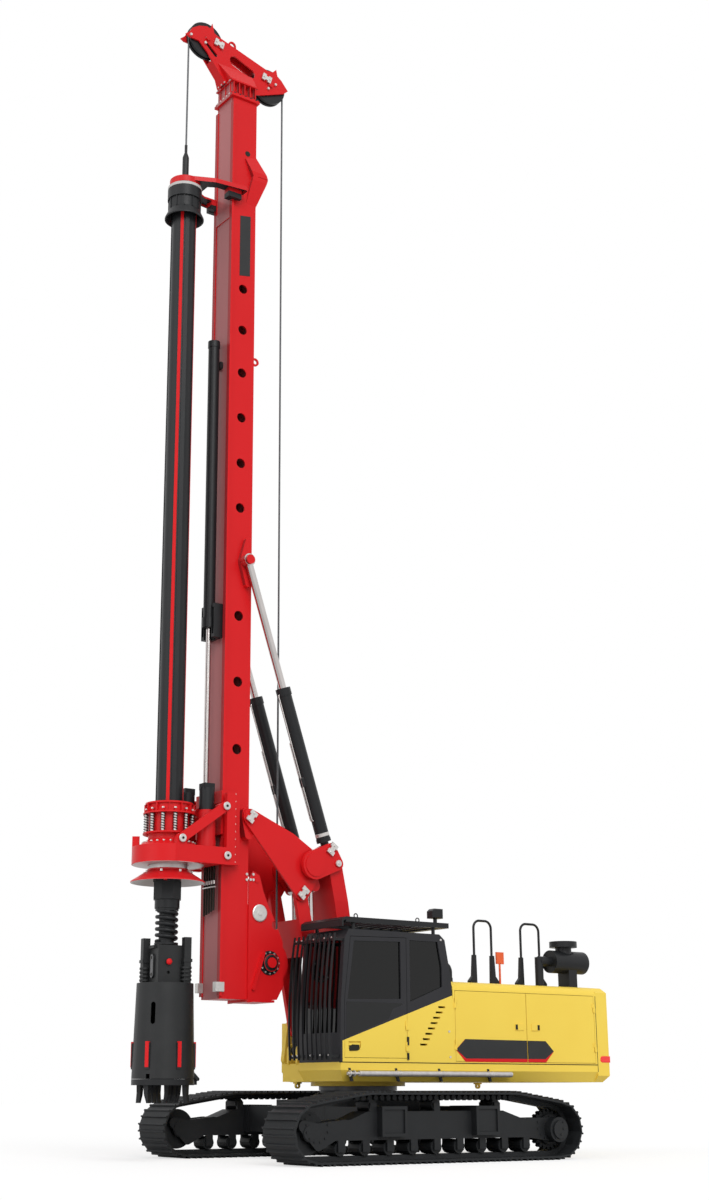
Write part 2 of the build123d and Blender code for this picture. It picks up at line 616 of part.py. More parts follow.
def cab_door():
    """Door with its window opening, handle and the knuckles on the cab's hinge pins."""
    door = on_xz(outline(DOOR_OUTLINE) - outline(DOOR_WINDOW), CAB_OUT_Y - CAB_WALL, CAB_OUT_Y)
    door -= block(CAB_DOOR_X1 - 260, CAB_DOOR_X1 - 60, CAB_OUT_Y - 22, CAB_OUT_Y + 5, 1460, 1540)
    door += block(CAB_DOOR_X1 - 240, CAB_DOOR_X1 - 60, CAB_OUT_Y - 10, CAB_OUT_Y + 4, 1488, 1516)
    hinge_y = CAB_OUT_Y + 6
    for z in CAB_HINGE_Z:
        door -= rod_z(CAB_DOOR_X0 + 14, hinge_y, CAB_HINGE_R + CAB_GAP, z - 65, z)
        door += rod_z(CAB_DOOR_X0 + 14, hinge_y, CAB_HINGE_R, z, z + 60)
        door -= rod_z(CAB_DOOR_X0 + 14, hinge_y, 6 + SEAT, z - 5, z + 50)
    return door


def cab_door_glass():
    y = CAB_OUT_Y - CAB_WALL / 2
    return on_xz(grown(DOOR_WINDOW, -SEAT), y - 4, y + 4)


def cab_seat():
    """Operator's seat on its pedestal, and the console with its two levers."""
    middle = (CAB_IN_Y + CAB_OUT_Y) / 2
    floor = DECK_Z + CAB_WALL
    seat = block(300, 640, middle - 180, middle + 180, floor, floor + 300)
    seat += block(240, 720, middle - 240, middle + 240, floor + 300, floor + 430)
    back = on_xz(outline([(230, floor + 400), (360, floor + 400), (300, floor + 1120),
                          (190, floor + 1120)]), middle - 220, middle + 220)
    back += block(190, 280, middle - 120, middle + 120, floor + 1120, floor + 1290)
    arms = block(330, 720, middle - 320, middle - 240, floor + 400, floor + 620)
    arms += block(330, 720, middle + 240, middle + 320, floor + 400, floor + 620)
    levers = rod_z(660, middle - 282, 22, floor + 620, floor + 760) + rod_z(660, middle + 282, 22, floor + 620, floor + 760)
    console = on_xz(outline([(1000, floor), (1180, floor), (1120, floor + 420), (1010, floor + 450)]),
                    middle - 150, middle + 150)
    return seat + back + arms + levers + console


def roof_guard():
    """Black guard over the cab: a frame with bars across, and a hood over the windscreen."""
    y0 = CAB_IN_Y + 5
    y1 = CAB_OUT_Y + 10
    roof = block(-535, GUARD_FRONT_X, y0, y1, GUARD_Z - 70, GUARD_Z)
    roof -= block(-430, 1150, y0 + 90, y1 - 90, GUARD_Z - 75, GUARD_Z + 5)
    for i in range(9):
        x = -380 + i * 180
        roof += block(x, x + 26, y0 + 80, y1 - 80, GUARD_Z - 50, GUARD_Z - 15)
    for x in (-300, 1080):
        for y in (y0 + 60, y1 - 60):
            roof += rod_z(x, y, 25, CAB_ROOF_Z + SEAT, GUARD_Z - 50)
    lip = outline([(GUARD_FRONT_X, GUARD_Z), (GUARD_FRONT_X + 70, GUARD_Z - 40), (GUARD_FRONT_X + 70, GUARD_Z - 130),
                   (GUARD_FRONT_X + 40, GUARD_Z - 130), (GUARD_FRONT_X + 40, GUARD_Z - 60),
                   (GUARD_FRONT_X, GUARD_Z - 40)])
    return roof + on_xz(lip, y0, y1)


def cab_front_guard():
    """Cage of flat bars, bowed forward, before the windscreen."""
    y0 = CAB_IN_Y + 10
    y1 = CAB_OUT_Y + 8
    low, mid, high = (1508, 1300), (1520, 2100), (1432, 2940)
    rim = [ThreePointArc(low, mid, high), Line(high, (high[0] - 26, high[1])),
           ThreePointArc((high[0] - 26, high[1]), (mid[0] - 26, mid[1]), (low[0] - 26, low[1])),
           Line((low[0] - 26, low[1]), low)]
    bar = make_face(Wire(rim))
    cage = Part()
    for i in range(GUARD_BARS):
        y = y0 + i * (y1 - y0 - 18) / (GUARD_BARS - 1)
        cage += on_xz(bar, y, y + 18)
    for x, z, cab_x in ((1494, 1345, 1332.4), (1440, 2860, 1261)):
        cage += block(x - 28, x - 4, y0, y1, z - 22, z + 22)
        for y in (y0 + 30, y1 - 60):
            cage += block(cab_x + SEAT, x - 10, y, y + 30, z - 16, z + 16)
    return cage


# ---- what stands on the house ----
HANDRAIL_Y = HALF_W - 450
# front and rear leg of each loop
HANDRAILS = [(-1370, -1700), (-2270, -2630)]
HANDRAIL_Z = 3290.0


def handrails():
    rails = Part()
    for x0, x1 in HANDRAILS:
        path = FilletPolyline((x0, HANDRAIL_Y, HOOD_TOP_Z + SEAT), (x0, HANDRAIL_Y, HANDRAIL_Z),
                              (x1, HANDRAIL_Y, HANDRAIL_Z), (x1, HANDRAIL_Y, HOOD_TOP_Z + SEAT), radius=110)
        rails += sweep(Plane(origin=path @ 0, z_dir=path % 0) * RegularPolygon(18, 8), path)
    return rails


def air_cleaner():
    z = 2745.0
    y = HALF_W - 290
    body = Pos(-3010, y, z) * Rot(0, 90, 0) * Cylinder(165, 650)
    body += rod_z(-2970, y, 120, z + 100, z + 215)
    body += rod_z(-2970, y, 205, z + 215, z + 300)
    body += rod_z(-2475, y, 62, HOOD_TOP_Z + SEAT, z + 55)
    body += Pos(-2590, y, z) * Rot(0, 90, 0) * Cylinder(70, 250)
    body += block(-3115, -2955, y - 120, y + 120, HOOD_TOP_Z + SEAT, z - 100)
    return body


def roof_fittings():
    """Exhaust stub behind the cab, warning board on its post, and the cab roof's camera."""
    base = HOOD_TOP_Z + SEAT
    y = HALF_W - 300
    bend = FilletPolyline((-760, y, base), (-760, y, 2620), (-620, y, 2620), radius=100)
    pipe = sweep(Plane(origin=bend @ 0, z_dir=bend % 0) * Circle(55), bend)
    pipe += rod_z(-760, y, 62, base, 2440)
    post = rod_z(-1850, HANDRAIL_Y, 14, base, 2700)
    board = block(-1920, -1790, HANDRAIL_Y - 10, HANDRAIL_Y + 10, 2690, 2850)
    y = CAB_OUT_Y - 250
    camera = rod_z(-500, y, 28, GUARD_Z + SEAT, GUARD_Z + 90) + rod_z(-500, y, 42, GUARD_Z + 90, GUARD_Z + 165)
    return pipe + post + board + camera


def side_rail():
    """Bright pipe along the left skirt on its brackets."""
    z = 1112.0
    y = HALF_W + 40
    rail = Pos(-30, y, z) * Rot(0, 90, 0) * Cylinder(30, 3190)
    for x in (1174, 405, -333, -1207):
        rail += block(x - 22, x + 22, HALF_W, y, z - 14, z + 110)
    return rail


# ---- boom linkage ----
def boom():
    """Two tapering box legs with a plate across their front and a tube behind it."""
    side = strap((BOOM_FOOT, 118), (BOOM_HEAD, 98))
    side -= disc(BOOM_FOOT, 56) + disc(BOOM_HEAD, 46)
    legs = on_xz(side, 290, 360) + rod_y(BOOM_FOOT, 118, 284, 362) - rod_y(BOOM_FOOT, 56, 270, 370)
    low = along(BOOM_FOOT, BOOM_HEAD, 1000)
    high = along(BOOM_FOOT, BOOM_HEAD, 1520)
    dx = BOOM_HEAD[0] - BOOM_FOOT[0]
    dz = BOOM_HEAD[1] - BOOM_FOOT[1]
    length = math.hypot(dx, dz)
    nx, nz = dz / length, -dx / length
    plate = outline([(low[0] + nx * 76, low[1] + nz * 76), (low[0] + nx * 102, low[1] + nz * 102),
                     (high[0] + nx * 98, high[1] + nz * 98), (high[0] + nx * 72, high[1] + nz * 72)])
    return both_sides(legs) + on_xz(plate, -300, 300)


def boom_link():
    """Rear link: a box beam that widens upwards, with a waist cut between its feet."""
    side = strap((LINK_FOOT, 110), (LINK_HEAD, 118))
    side -= disc(LINK_FOOT, 46) + disc(LINK_HEAD, 46)
    width = outline([(-350, 1900), (350, 1900), (350, 2500), (428, 3500), (428, 4300),
                     (-428, 4300), (-428, 3500), (-350, 2500)])
    width -= outline([(-230, 1800), (230, 1800), (230, 2650), (150, 2800), (-150, 2800), (-230, 2650)])
    return on_xz(side, -430, 430) & on_yz(width, 0, 1000)


def triangle():
    """Plates between the boom and the mast, joined by a round cross tube with end bosses."""
    side = strap((BOOM_HEAD, 112), (BOSS, 200)) + strap((BOSS, 200), ((1430, 4290), 112), (BOOM_HEAD, 90))
    side += strap((MAST_PIN, 112), ((1430, 4290), 112), (BOOM_HEAD, 112))
    plates = on_xz(side, 366, 400)
    plates += on_xz(disc(MAST_PIN, 92), 400, 412)
    tube = rod_y(BOSS, 168, -460, 460)
    ends = rod_y(BOSS, 205, 440, 500) + rod_y(BOSS, 165, 500, 512)
    ear = strap((BOSS, 205), (LINK_HEAD, 95), (LUFF_FOOT, 88))
    ears = on_xz(ear, 440, 500) + on_xz(strap((LUFF_FOOT, 80), (BOSS, 150)), 250, 302)
    cyl = strap((BOOM_CYL_HEAD, 80), ((1045, 3850), 90))
    ears += on_xz(cyl, 282, 330) + on_xz(cyl, 60, 108)
    pins = rod_y(BOOM_HEAD, 45, 284, 424) + rod_y(MAST_PIN, 55, 262, 428)
    pins += rod_y(LINK_HEAD, 45, 380, 516) + rod_y(LUFF_FOOT, 40, 250, 520)
    pins += rod_y(BOOM_CYL_HEAD, 40, 60, 330)
    return both_sides(plates + ends + ears + pins) + tube


def cylinder_barrel(foot, head, y, r, length, eye_half):
    """Barrel with its gland ring, ports and the eye at its foot."""
    start = along(foot, head, r + 20)
    end = along(foot, head, length)
    barrel = tube_between(start, end, y, r)
    barrel += tube_between(along(foot, head, length - 110), end, y, r + 10)
    barrel += tube_between(start, along(foot, head, r + 75), y, r + 6)
    eye = rod_y(foot, r * 0.86, y - eye_half, y + eye_half)
    neck = tube_between(foot, start, y, r * 0.6)
    return barrel + eye + neck - rod_y(foot, 40 + SEAT, y - eye_half - 5, y + eye_half + 5)


def cylinder_rod(foot, head, y, r, barrel_length, eye_r, eye_half, pin_r):
    start = along(foot, head, barrel_length - 300)
    rod = tube_between(start, along(foot, head, math.dist(foot, head) - eye_r * 0.7), y, r)
    eye = rod_y(head, eye_r, y - eye_half, y + eye_half)
    return rod + eye - rod_y(head, pin_r + EYE_PLAY, y - eye_half - 5, y + eye_half + 5)


LUFF_BARREL = 2400.0
LUFF_ROD_R = 55.0
BOOM_BARREL = 1450.0
BOOM_ROD_R = 46.0


def with_bore(barrel, foot, head, y, rod_r, barrel_length, depth):
    """The barrel, bored from its open end for the rod."""
    start = along(foot, head, barrel_length - depth)
    end = along(foot, head, barrel_length + 10)
    return barrel - tube_between(start, end, y, rod_r + 0.5)


def luffing_barrels():
    one = cylinder_barrel(LUFF_FOOT, LUFF_MAST, LUFF_Y, 100, LUFF_BARREL, 60)
    return both_sides(with_bore(one, LUFF_FOOT, LUFF_MAST, LUFF_Y, LUFF_ROD_R, LUFF_BARREL, 1150))


def luffing_rods():
    return both_sides(cylinder_rod(LUFF_FOOT, LUFF_MAST, LUFF_Y, LUFF_ROD_R, LUFF_BARREL, 92, 52, 38))


def boom_cylinder_barrels():
    one = cylinder_barrel(BOOM_CYL_FOOT, BOOM_CYL_HEAD, BOOM_CYL_Y, 78, BOOM_BARREL, 78)
    return both_sides(with_bore(one, BOOM_CYL_FOOT, BOOM_CYL_HEAD, BOOM_CYL_Y, BOOM_ROD_R, BOOM_BARREL, 850))


def boom_cylinder_rods():
    return both_sides(cylinder_rod(BOOM_CYL_FOOT, BOOM_CYL_HEAD, BOOM_CYL_Y, BOOM_ROD_R, BOOM_BARREL, 84, 70, 40))


# ---- mast ----
# X, Z, radius of the round holes through the mast's side plates
MAST_HOLES = [(2245, z, 75) for z in (12720, 12030, 11320, 10590, 9860, 9155, 7500, 6520, 5540)]


def mast_box():
    """Welded box with guide rails on its front, round holes in its sides, and its hinges."""
    face_x = MAST_X1 - RAIL_RISE
    fold = outline([(2240, 14985), (2036, 15084), (1875, 14780), (1848, 14705), (1875, 14610),
                    (2044, 14160), (2215, 14213), (2120, 14705)])
    width = outline([(-225, 15090), (-300, 14780), (-300, 14630), (-225, 14150),
                     (225, 14150), (300, 14630), (300, 14780), (225, 15090)])
    mast = block(MAST_X0, face_x, -MAST_HALF, MAST_HALF, MAST_Z0, MAST_Z1 - 40)
    mast += (on_xz(fold, -310, 310) & on_yz(width, 1800, 2300)) + rod_y(KNUCKLE, 58, -290, 290)
    mast -= block(MAST_X0 + MAST_WALL, face_x - MAST_WALL, MAST_WALL - MAST_HALF, MAST_HALF - MAST_WALL,
                  MAST_Z0 + MAST_WALL, MAST_Z1 - 60)
    mast -= block(1800, MAST_X0, -320, 320, KNUCKLE[1] - 4, KNUCKLE[1] + 4)
    holes = disc((2204, 15110), 26)
    for x, z, r in MAST_HOLES:
        holes += disc((x, z), r)
    mast -= on_xz(holes, -MAST_HALF - 5, MAST_HALF + 5)
    mast += block(MAST_X0 - 35, MAST_X1 + 30, -MAST_HALF - 35, MAST_HALF + 35, MAST_Z1 - 40, MAST_Z1)
    rails = block(MAST_X1 - RAIL_T, MAST_X1, RAIL_IN_Y, RAIL_OUT_Y, MAST_Z0 + 40, MAST_Z1 - 140)
    mast += both_sides(rails) + block(face_x - 5, MAST_X1, -RAIL_IN_Y, RAIL_IN_Y, 13900, 14100)
    hinge = strap((MAST_PIN, 115), ((2150, 4640), 60), ((2107, 4320), 60)) - disc(MAST_PIN, 56)
    mast += both_sides(on_xz(hinge, MAST_HALF, 356))
    lug = strap((LUFF_MAST, 92), ((2130, 8650), 50), ((2130, 7990), 50)) - disc(LUFF_MAST, 36)
    mast += both_sides(on_xz(lug, MAST_HALF, LUFF_Y - 66))
    mast += both_sides(rod_y(LUFF_MAST, 38, LUFF_Y - 76, 450) + rod_y(LUFF_MAST, 70, 428, 450))
    for z in (11640, 5870):
        mast += on_xz(strap(((1995, z), 32), ((2040, z), 50)) - disc((1995, z), 14), -12, 12)
    return mast


def mast_head():
    """Sheave plates on a flared neck, with a gusseted collar bolted to the mast's cap."""
    # X, and how far each corner stands above the neck's underside
    corners = [(1960, -20), (2545, -20), (2894, 423), (2973, 494), (3041, 566), (3225, 570), (3287, 603),
               (3216, 669), (3169, 754), (3047, 839), (2899, 885), (2840, 865), (2802, 974), (2765, 810),
               (2680, 774), (1742, 506), (1640, 520), (1575, 590), (1550, 470), (1480, 426), (1345, 270),
               (1430, 190), (1850, 10)]
    plate = outline([(x, NECK_Z + rise) for x, rise in corners])
    window = strap(((2375, NECK_Z + 440), 90), ((2080, NECK_Z + 325), 90))
    plate -= window + strap(((2892, NECK_Z + 560), 26), ((2735, NECK_Z + 420), 34))
    head = both_sides(on_xz(plate, HEAD_HALF - HEAD_PLATE, HEAD_HALF))
    inner = HEAD_HALF - HEAD_PLATE / 2
    cover = [(1890, 548), (2550, 737), (2554, 723), (1894, 534)]
    head += on_xz(outline([(x, NECK_Z + rise) for x, rise in cover]), -inner, inner)
    web = [(2545, -20), (2800, 309), (2788, 320), (2530, 0)]
    head += on_xz(outline([(x, NECK_Z + rise) for x, rise in web]), -inner, inner)
    neck = loft([Plane.XY.offset(NECK_Z) * Pos(2262, 0) * Rectangle(470, 450),
                 Plane.XY.offset(NECK_Z + 290) * Pos(2370, 0) * Rectangle(640, 2 * HEAD_HALF)])
    head += neck - on_xz(window, -HEAD_HALF - 20, HEAD_HALF + 20)
    head += block(2110, 2415, -165, 165, MAST_Z1, NECK_Z + 5)
    head += block(2010, 2510, -250, 250, MAST_Z1, MAST_Z1 + 30)
    head += block(2015, 2510, -245, 245, NECK_Z - 25, NECK_Z)
    for x in (2060, 2161, 2262, 2363, 2465):
        head += block(x - 8, x + 8, -235, 235, MAST_Z1, NECK_Z)
    for y in (-150, 0, 150):
        head += block(2030, 2495, y - 8, y + 8, MAST_Z1, NECK_Z)
    eye = strap((HEAD_EYE, 70), ((HEAD_EYE[0], HEAD_EYE[1] - 80), 75)) - disc(HEAD_EYE, HEAD_EYE_R)
    head += on_xz(eye, -14, 14)
    head += rod_y(FRONT_SHEAVE, 39.5, -125, 125) + rod_y(REAR_SHEAVE, 39.5, -125, 125)
    for x, rise in ((2683, 635), (1771, 342)):
        z = NECK_Z + rise
        head += both_sides(block(x - 45, x + 45, HEAD_HALF - 5, HEAD_HALF + 16, z - 58, z + 58))
    return head


def sheave(point):
    wheel = rod_y(point, SHEAVE_R + 12, -56, 56)
    groove = rod_y(point, SHEAVE_R + 40, -ROPE_R - 4, ROPE_R + 4)
    groove -= rod_y(point, SHEAVE_R - ROPE_R - 0.5, -60, 60)
    return wheel - groove - rod_y(point, 40.3, -60, 60)


def hoist_ropes():
    """Main rope: down from the front sheave to the swivel, and from the rear one to the drum."""
    front = rod_z(KELLY_X, 0, ROPE_R, SWIVEL_TOP_Z, FRONT_SHEAVE[1])
    rear = rod_z(REAR_SHEAVE[0] - SHEAVE_R, 0, ROPE_R, DRUM[1], REAR_SHEAVE[1])
    return front, rear


def winch_frame():
    """Mast foot that carries the main winch between two plates."""
    plate = outline([(2034, 3720), (1960, 3840), (1860, 3790), (1790, 3560), (1700, 3360),
                     (1600, 3180), (1470, 2900), (1450, 2300), (1560, 2110), (2034, 2060)])
    plate += disc(DRUM, 300)
    plate -= disc(DRUM, 120) + disc((1590, 3120), 62)
    plates = on_xz(plate, 236, 262) + rod_y((1860, 3268), 115, 255, 268) + rod_y((1905, 3724), 40, 255, 275)
    guard = on_xz(strap(((1960, 2247), 22), ((1799, 2724), 22)), 255, 300)
    return both_sides(plates) + guard + block(1600, 2034, -262, 262, 2070, 2100)


def winch_drum():
    drum = rod_y(DRUM, DRUM_ROPE_R - ROPE_R - 0.5, -226, 226)
    for y in (-226, 200):
        drum += rod_y(DRUM, DRUM_ROPE_R + 45, y, y + 26)
    return drum + rod_y(DRUM, 118, -300, 320) + rod_y(DRUM, 70, -330, 345)


def crowd_barrel():
    barrel = rod_z(CROWD_X, 0, CROWD_R, CROWD_BOT_Z, CROWD_TOP_Z)
    barrel += rod_z(CROWD_X, 0, CROWD_R + 16, CROWD_BOT_Z - 60, CROWD_BOT_Z + 90)
    barrel += rod_z(CROWD_X, 0, CROWD_R + 8, CROWD_TOP_Z - 10, CROWD_TOP_Z + 90)
    barrel -= rod_z(CROWD_X, 0, CROWD_ROD_R + 0.5, CROWD_BOT_Z - 70, CROWD_TOP_Z - 100)
    bracket = block(MAST_X1 - RAIL_RISE, CROWD_X + 20, -BRACKET_HALF, BRACKET_HALF, 7150, 7650)
    bracket -= both_sides(block(MAST_X1 + 40, CROWD_X + 30, 112, 160, 7200, 7600))
    bracket -= rod_z(CROWD_X, 0, CROWD_R + 17, 7100, 7700)
    return barrel + bracket + block(MAST_X1 - RAIL_RISE, CROWD_X - CROWD_R + 12, -60, 60, 11400, 11500)


# ---- rotary drive, sliding on the mast ----
def carriage():
    """Slide on the mast's rails: two side plates, cross plates, and a boss at each pin."""
    upper, lower = DRIVE_PINS
    side = outline([(2252, CARRIAGE_Z0), (2440, CARRIAGE_Z0), (2625, CARRIAGE_Z0 + 10), (2625, DRIVE_Z1 - 70),
                    (2545, DRIVE_Z1 - 20), (2510, 4300), (2510, CARRIAGE_Z1), (2252, CARRIAGE_Z1)])
    side += strap((upper, 58), ((2480, upper[1]), 90))
    bosses = disc(upper, 56) + disc(lower, 70)
    hole = disc(upper, DRIVE_PIN_R + SEAT) + disc(lower, DRIVE_PIN_R + SEAT)
    plates = on_xz(side - hole, CARRIAGE_Y0, CARRIAGE_Y1) + on_xz(bosses - hole, CARRIAGE_Y1, ARM_Y0 - SIDE_GAP)
    cross = block(MAST_X1 + 12, 2552, -CARRIAGE_Y1, CARRIAGE_Y1, 4300, 4600)
    cross += block(MAST_X1 + 12, 2552, -CARRIAGE_Y1, CARRIAGE_Y1, 4740, CARRIAGE_Z1)
    cross += block(MAST_X1 + 12, 2580, -CARRIAGE_Y1, CARRIAGE_Y1, CARRIAGE_Z0, DRIVE_Z1 - 20)
    cross -= on_xz(hole, -CARRIAGE_Y1 - 5, CARRIAGE_Y1 + 5)
    pads = block(MAST_X1 - 56, MAST_X1 - 46, MAST_HALF + RAIL_GAP, CARRIAGE_Y0 + 4, CARRIAGE_Z0 + 40,
                 CARRIAGE_Z1 - 40)
    return both_sides(plates) + cross + both_sides(pads)


def gearbox():
    """Round housing about the kelly, between the welded triangles that hang it on the carriage."""
    upper, lower = DRIVE_PINS
    shape = Pos(KELLY_X, 0) * Circle(DRIVE_R)
    shape += outline([(2640, -ARM_Y0), (KELLY_X, -ARM_Y0), (KELLY_X, ARM_Y0), (2640, ARM_Y0)])
    for y in (ARM_Y1, -ARM_Y1 - 100):
        shape -= outline([(2600, y), (ARM_FRONT_X, y), (ARM_FRONT_X, y + 100), (2600, y + 100)])
    body = on_xy(shape, DRIVE_Z0, DRIVE_Z1)
    body += turned([(0, DRIVE_Z1 - 5), (430, DRIVE_Z1 - 5), (430, DRIVE_Z1), (NECK_R + 25, FLANGE_Z - 98),
                    (NECK_R, FLANGE_Z - 98), (NECK_R, FLANGE_Z - 18), (BASKET_R, FLANGE_Z - 18),
                    (BASKET_R, FLANGE_Z), (0, FLANGE_Z)])
    for y in (-MOTOR_Y, MOTOR_Y):
        body -= rod_z(MOTOR_X, y, MOTOR_R + 16, DRIVE_Z1, FLANGE_Z + 100)
    body += round_kelly(block(DRIVE_R - 100, DRIVE_R, -12, 12, DRIVE_Z1 - 5, DRIVE_Z1 + 160), -35)
    arm = outline([(ARM_REAR_X, DRIVE_Z0 + 6), (ARM_FRONT_X, DRIVE_Z0 + 6), (ARM_FRONT_X, DRIVE_Z1),
                   (ARM_REAR_X + 135, DRIVE_Z1 + 6), (ARM_REAR_X + 135, 4860), (ARM_REAR_X, 4860)])
    arm += strap((BRACE_PIN, 70), ((BRACE_PIN[0], DRIVE_Z1 - 50), 85)) + strap((upper, 60), ((2460, upper[1]), 55))
    body += both_sides(on_xz(arm, ARM_Y0, ARM_Y1))
    body += both_sides(on_xz(strap((upper, 66), (BRACE_PIN, 66)), ARM_Y1 - 30, ARM_Y1))
    for pin, inner in ((upper, CARRIAGE_Y0 + 8), (lower, CARRIAGE_Y0 + 8), (BRACE_PIN, ARM_Y0)):
        body += both_sides(rod_y(pin, DRIVE_PIN_R, inner, ARM_Y1 + 20) + rod_y(pin, 50, ARM_Y1 - 5, ARM_Y1 + 20))
    return body - rod_z(KELLY_X, 0, DRIVE_BORE_R, 3600, 4400)


def drive_motors():
    motors = Part()
    for y in (-MOTOR_Y, MOTOR_Y):
        motors += rod_z(MOTOR_X, y, MOTOR_R, DRIVE_Z1 + SEAT, 4590)
        motors += rod_z(MOTOR_X, y, MOTOR_R + 8, DRIVE_Z1 + SEAT, 4200)
        motors += rod_z(MOTOR_X, y, 105, 4590, 4930)
        motors += block(MOTOR_X - 80, MOTOR_X + 80, y - 80, y + 80, 4900, 4990)
    return motors


def buffer_basket():
    """Spring-carried ring on which the kelly lands, on twelve studs."""
    inner = DRIVE_BORE_R + 15
    ring = turned([(inner, FLANGE_Z + SEAT), (NECK_R, FLANGE_Z + SEAT), (NECK_R, 4545), (BASKET_R, 4545),
                   (BASKET_R, 4565), (NECK_R + 15, 4565), (NECK_R + 15, 4680), (BASKET_R - 27, 4680),
                   (BASKET_R - 27, 4702), (inner, 4702)])
    for i in range(STUDS):
        angle = 360 * (i + 0.5) / STUDS
        ring += round_kelly(Pos(BASKET_R - 35, 0, FLANGE_Z) * extrude(many_sided(22), 260), angle)
        ring += round_kelly(Pos(BASKET_R - 35, 0, 4540) * extrude(many_sided(12), 62), angle)
        ring += round_kelly(block(NECK_R + 10, BASKET_R - 14, -5, 5, 4560, 4685), angle + 15)
    return ring - rod_z(KELLY_X, 0, BASKET_R + 20, FLANGE_Z - 20, FLANGE_Z + SEAT)


def casing_cone():
    """Casing drive adapter under the gearbox: a machined ring and a skirt that flares out."""
    hub = NECK_R - 10
    return turned([(DRIVE_BORE_R, DRIVE_Z0 - SEAT), (hub - 13, DRIVE_Z0 - SEAT), (hub - 13, CONE_Z1 + 20),
                   (hub + 5, CONE_Z1 + 20), (hub + 5, CONE_Z1), (CONE_RIM_R, CONE_Z0 + 17), (CONE_RIM_R, CONE_Z0),
                   (CONE_RIM_R - 14, CONE_Z0), (hub - 13, CONE_Z1 - 26), (DRIVE_BORE_R, CONE_Z1 - 26)])


def crowd_rod():
    rod = rod_z(CROWD_X, 0, CROWD_ROD_R, 4960, CROWD_BOT_Z + 250)
    return rod + rod_z(CROWD_X - 30, 0, 70, CARRIAGE_Z1 + SEAT, 4990)


# ---- kelly bar, its guide and the drilling tool ----
def kelly_guide():
    """Frame on the mast's rails that holds the kelly's head: plate, bearing and casing."""
    rear = 2330
    edge = RAIL_OUT_Y + 130
    hull = strap(((KELLY_X, 0), 200), ((2840, edge - 50), 20), ((rear, edge), 30), ((rear, -edge), 30),
                 ((2840, 50 - edge), 20))
    gap = outline([(rear - 60, -RAIL_OUT_Y - RAIL_GAP), (MAST_X1 + RAIL_GAP, -RAIL_OUT_Y - RAIL_GAP),
                   (MAST_X1 + RAIL_GAP, RAIL_OUT_Y + RAIL_GAP), (rear - 60, RAIL_OUT_Y + RAIL_GAP)])
    gap += outline([(MAST_X1, -BRACKET_HALF - 10), (2720, -BRACKET_HALF - 10), (2850, -120), (2850, 120),
                    (2720, BRACKET_HALF + 10), (MAST_X1, BRACKET_HALF + 10)])
    frame = on_xy(hull - gap, GUIDE_Z - 30, GUIDE_Z) + on_xy(hull - offset(hull, -22) - gap, GUIDE_Z - 62, GUIDE_Z + 10)
    for side in (1, -1):
        y0, y1 = sorted((side * (RAIL_OUT_Y + RAIL_GAP), side * (RAIL_OUT_Y + 70)))
        frame += block(2360, 2590, y0, y1, GUIDE_Z - 190, GUIDE_Z - 25)
        y0, y1 = sorted((side * (MAST_HALF + RAIL_GAP), side * (RAIL_OUT_Y + 30)))
        frame += block(2400, MAST_X1 - RAIL_T - 6, y0, y1, GUIDE_Z - 180, GUIDE_Z - 40)
        y0, y1 = sorted((side * (BRACKET_HALF + 12), side * (RAIL_OUT_Y + 30)))
        frame += block(MAST_X1 + RAIL_GAP, 2585, y0, y1, GUIDE_Z - 180, GUIDE_Z - 25)
    seat_z = KELLY_TOP_Z - 260
    frame += turned([(0, GUIDE_Z), (0, KELLY_TOP_Z + 40), (KELLY_R + SEAT, KELLY_TOP_Z + 40), (KELLY_R + SEAT, seat_z),
                     (KEY_R + 12, seat_z), (KEY_R + 12, 13850), (284, 13712), (300, 13712), (300, 13728),
                     (240, 13862), (240, 14030), (262, 14030), (262, 14250), (235, 14250), (235, GUIDE_Z)])
    for i in range(12):
        frame += round_kelly(block(232, 252, -7, 7, 13858, 14032), 30 * i)
    return frame


def rope_swivel():
    return turned([(0, GUIDE_Z + SEAT), (75, GUIDE_Z + SEAT), (75, GUIDE_Z + 22), (50, GUIDE_Z + 22),
                   (50, SWIVEL_TOP_Z - 220), (22, SWIVEL_TOP_Z - 135), (22, SWIVEL_TOP_Z), (0, SWIVEL_TOP_Z)])


def kelly_bar():
    """Outer kelly tube with three drive keys, its square foot and the stub in the tool's box."""
    bar = rod_z(KELLY_X, 0, KELLY_R, KELLY_COLLAR_Z, KELLY_TOP_Z)
    bar += rod_z(KELLY_X, 0, KELLY_R - 10, KELLY_FOOT_Z0, KELLY_COLLAR_Z + 5)
    key = block(KELLY_R - 12, KEY_R, -32, 32, KELLY_FOOT_Z1, KELLY_TOP_Z - 300)
    for angle in (75, 195, 315):
        bar += round_kelly(key, angle)
    foot = on_xy(RegularPolygon(KEY_R + 5, 8), KELLY_COLLAR_Z, KELLY_FOOT_Z1)
    bar += round_kelly(foot, TOOL_TURN)
    return bar + rod_z(KELLY_X, 0, 105, TOOL_TOP_Z, KELLY_FOOT_Z0 + 5)


SPRING_Z0 = 2790.0
SPRING_Z1 = KELLY_FOOT_Z0 - SEAT
SPRING_COILS = 6


def kelly_spring():
    """Heavy spring over the stub, its coils closed up to one ribbed sleeve."""
    pitch = (SPRING_Z1 - SPRING_Z0) / SPRING_COILS
    profile = [(106, SPRING_Z1), (106, SPRING_Z0)]
    for i in range(SPRING_COILS):
        z = SPRING_Z0 + i * pitch
        profile += [(122, z), (162, z + 0.12 * pitch), (162, z + 0.5 * pitch), (122, z + 0.62 * pitch)]
    return turned(profile + [(122, SPRING_Z1)])


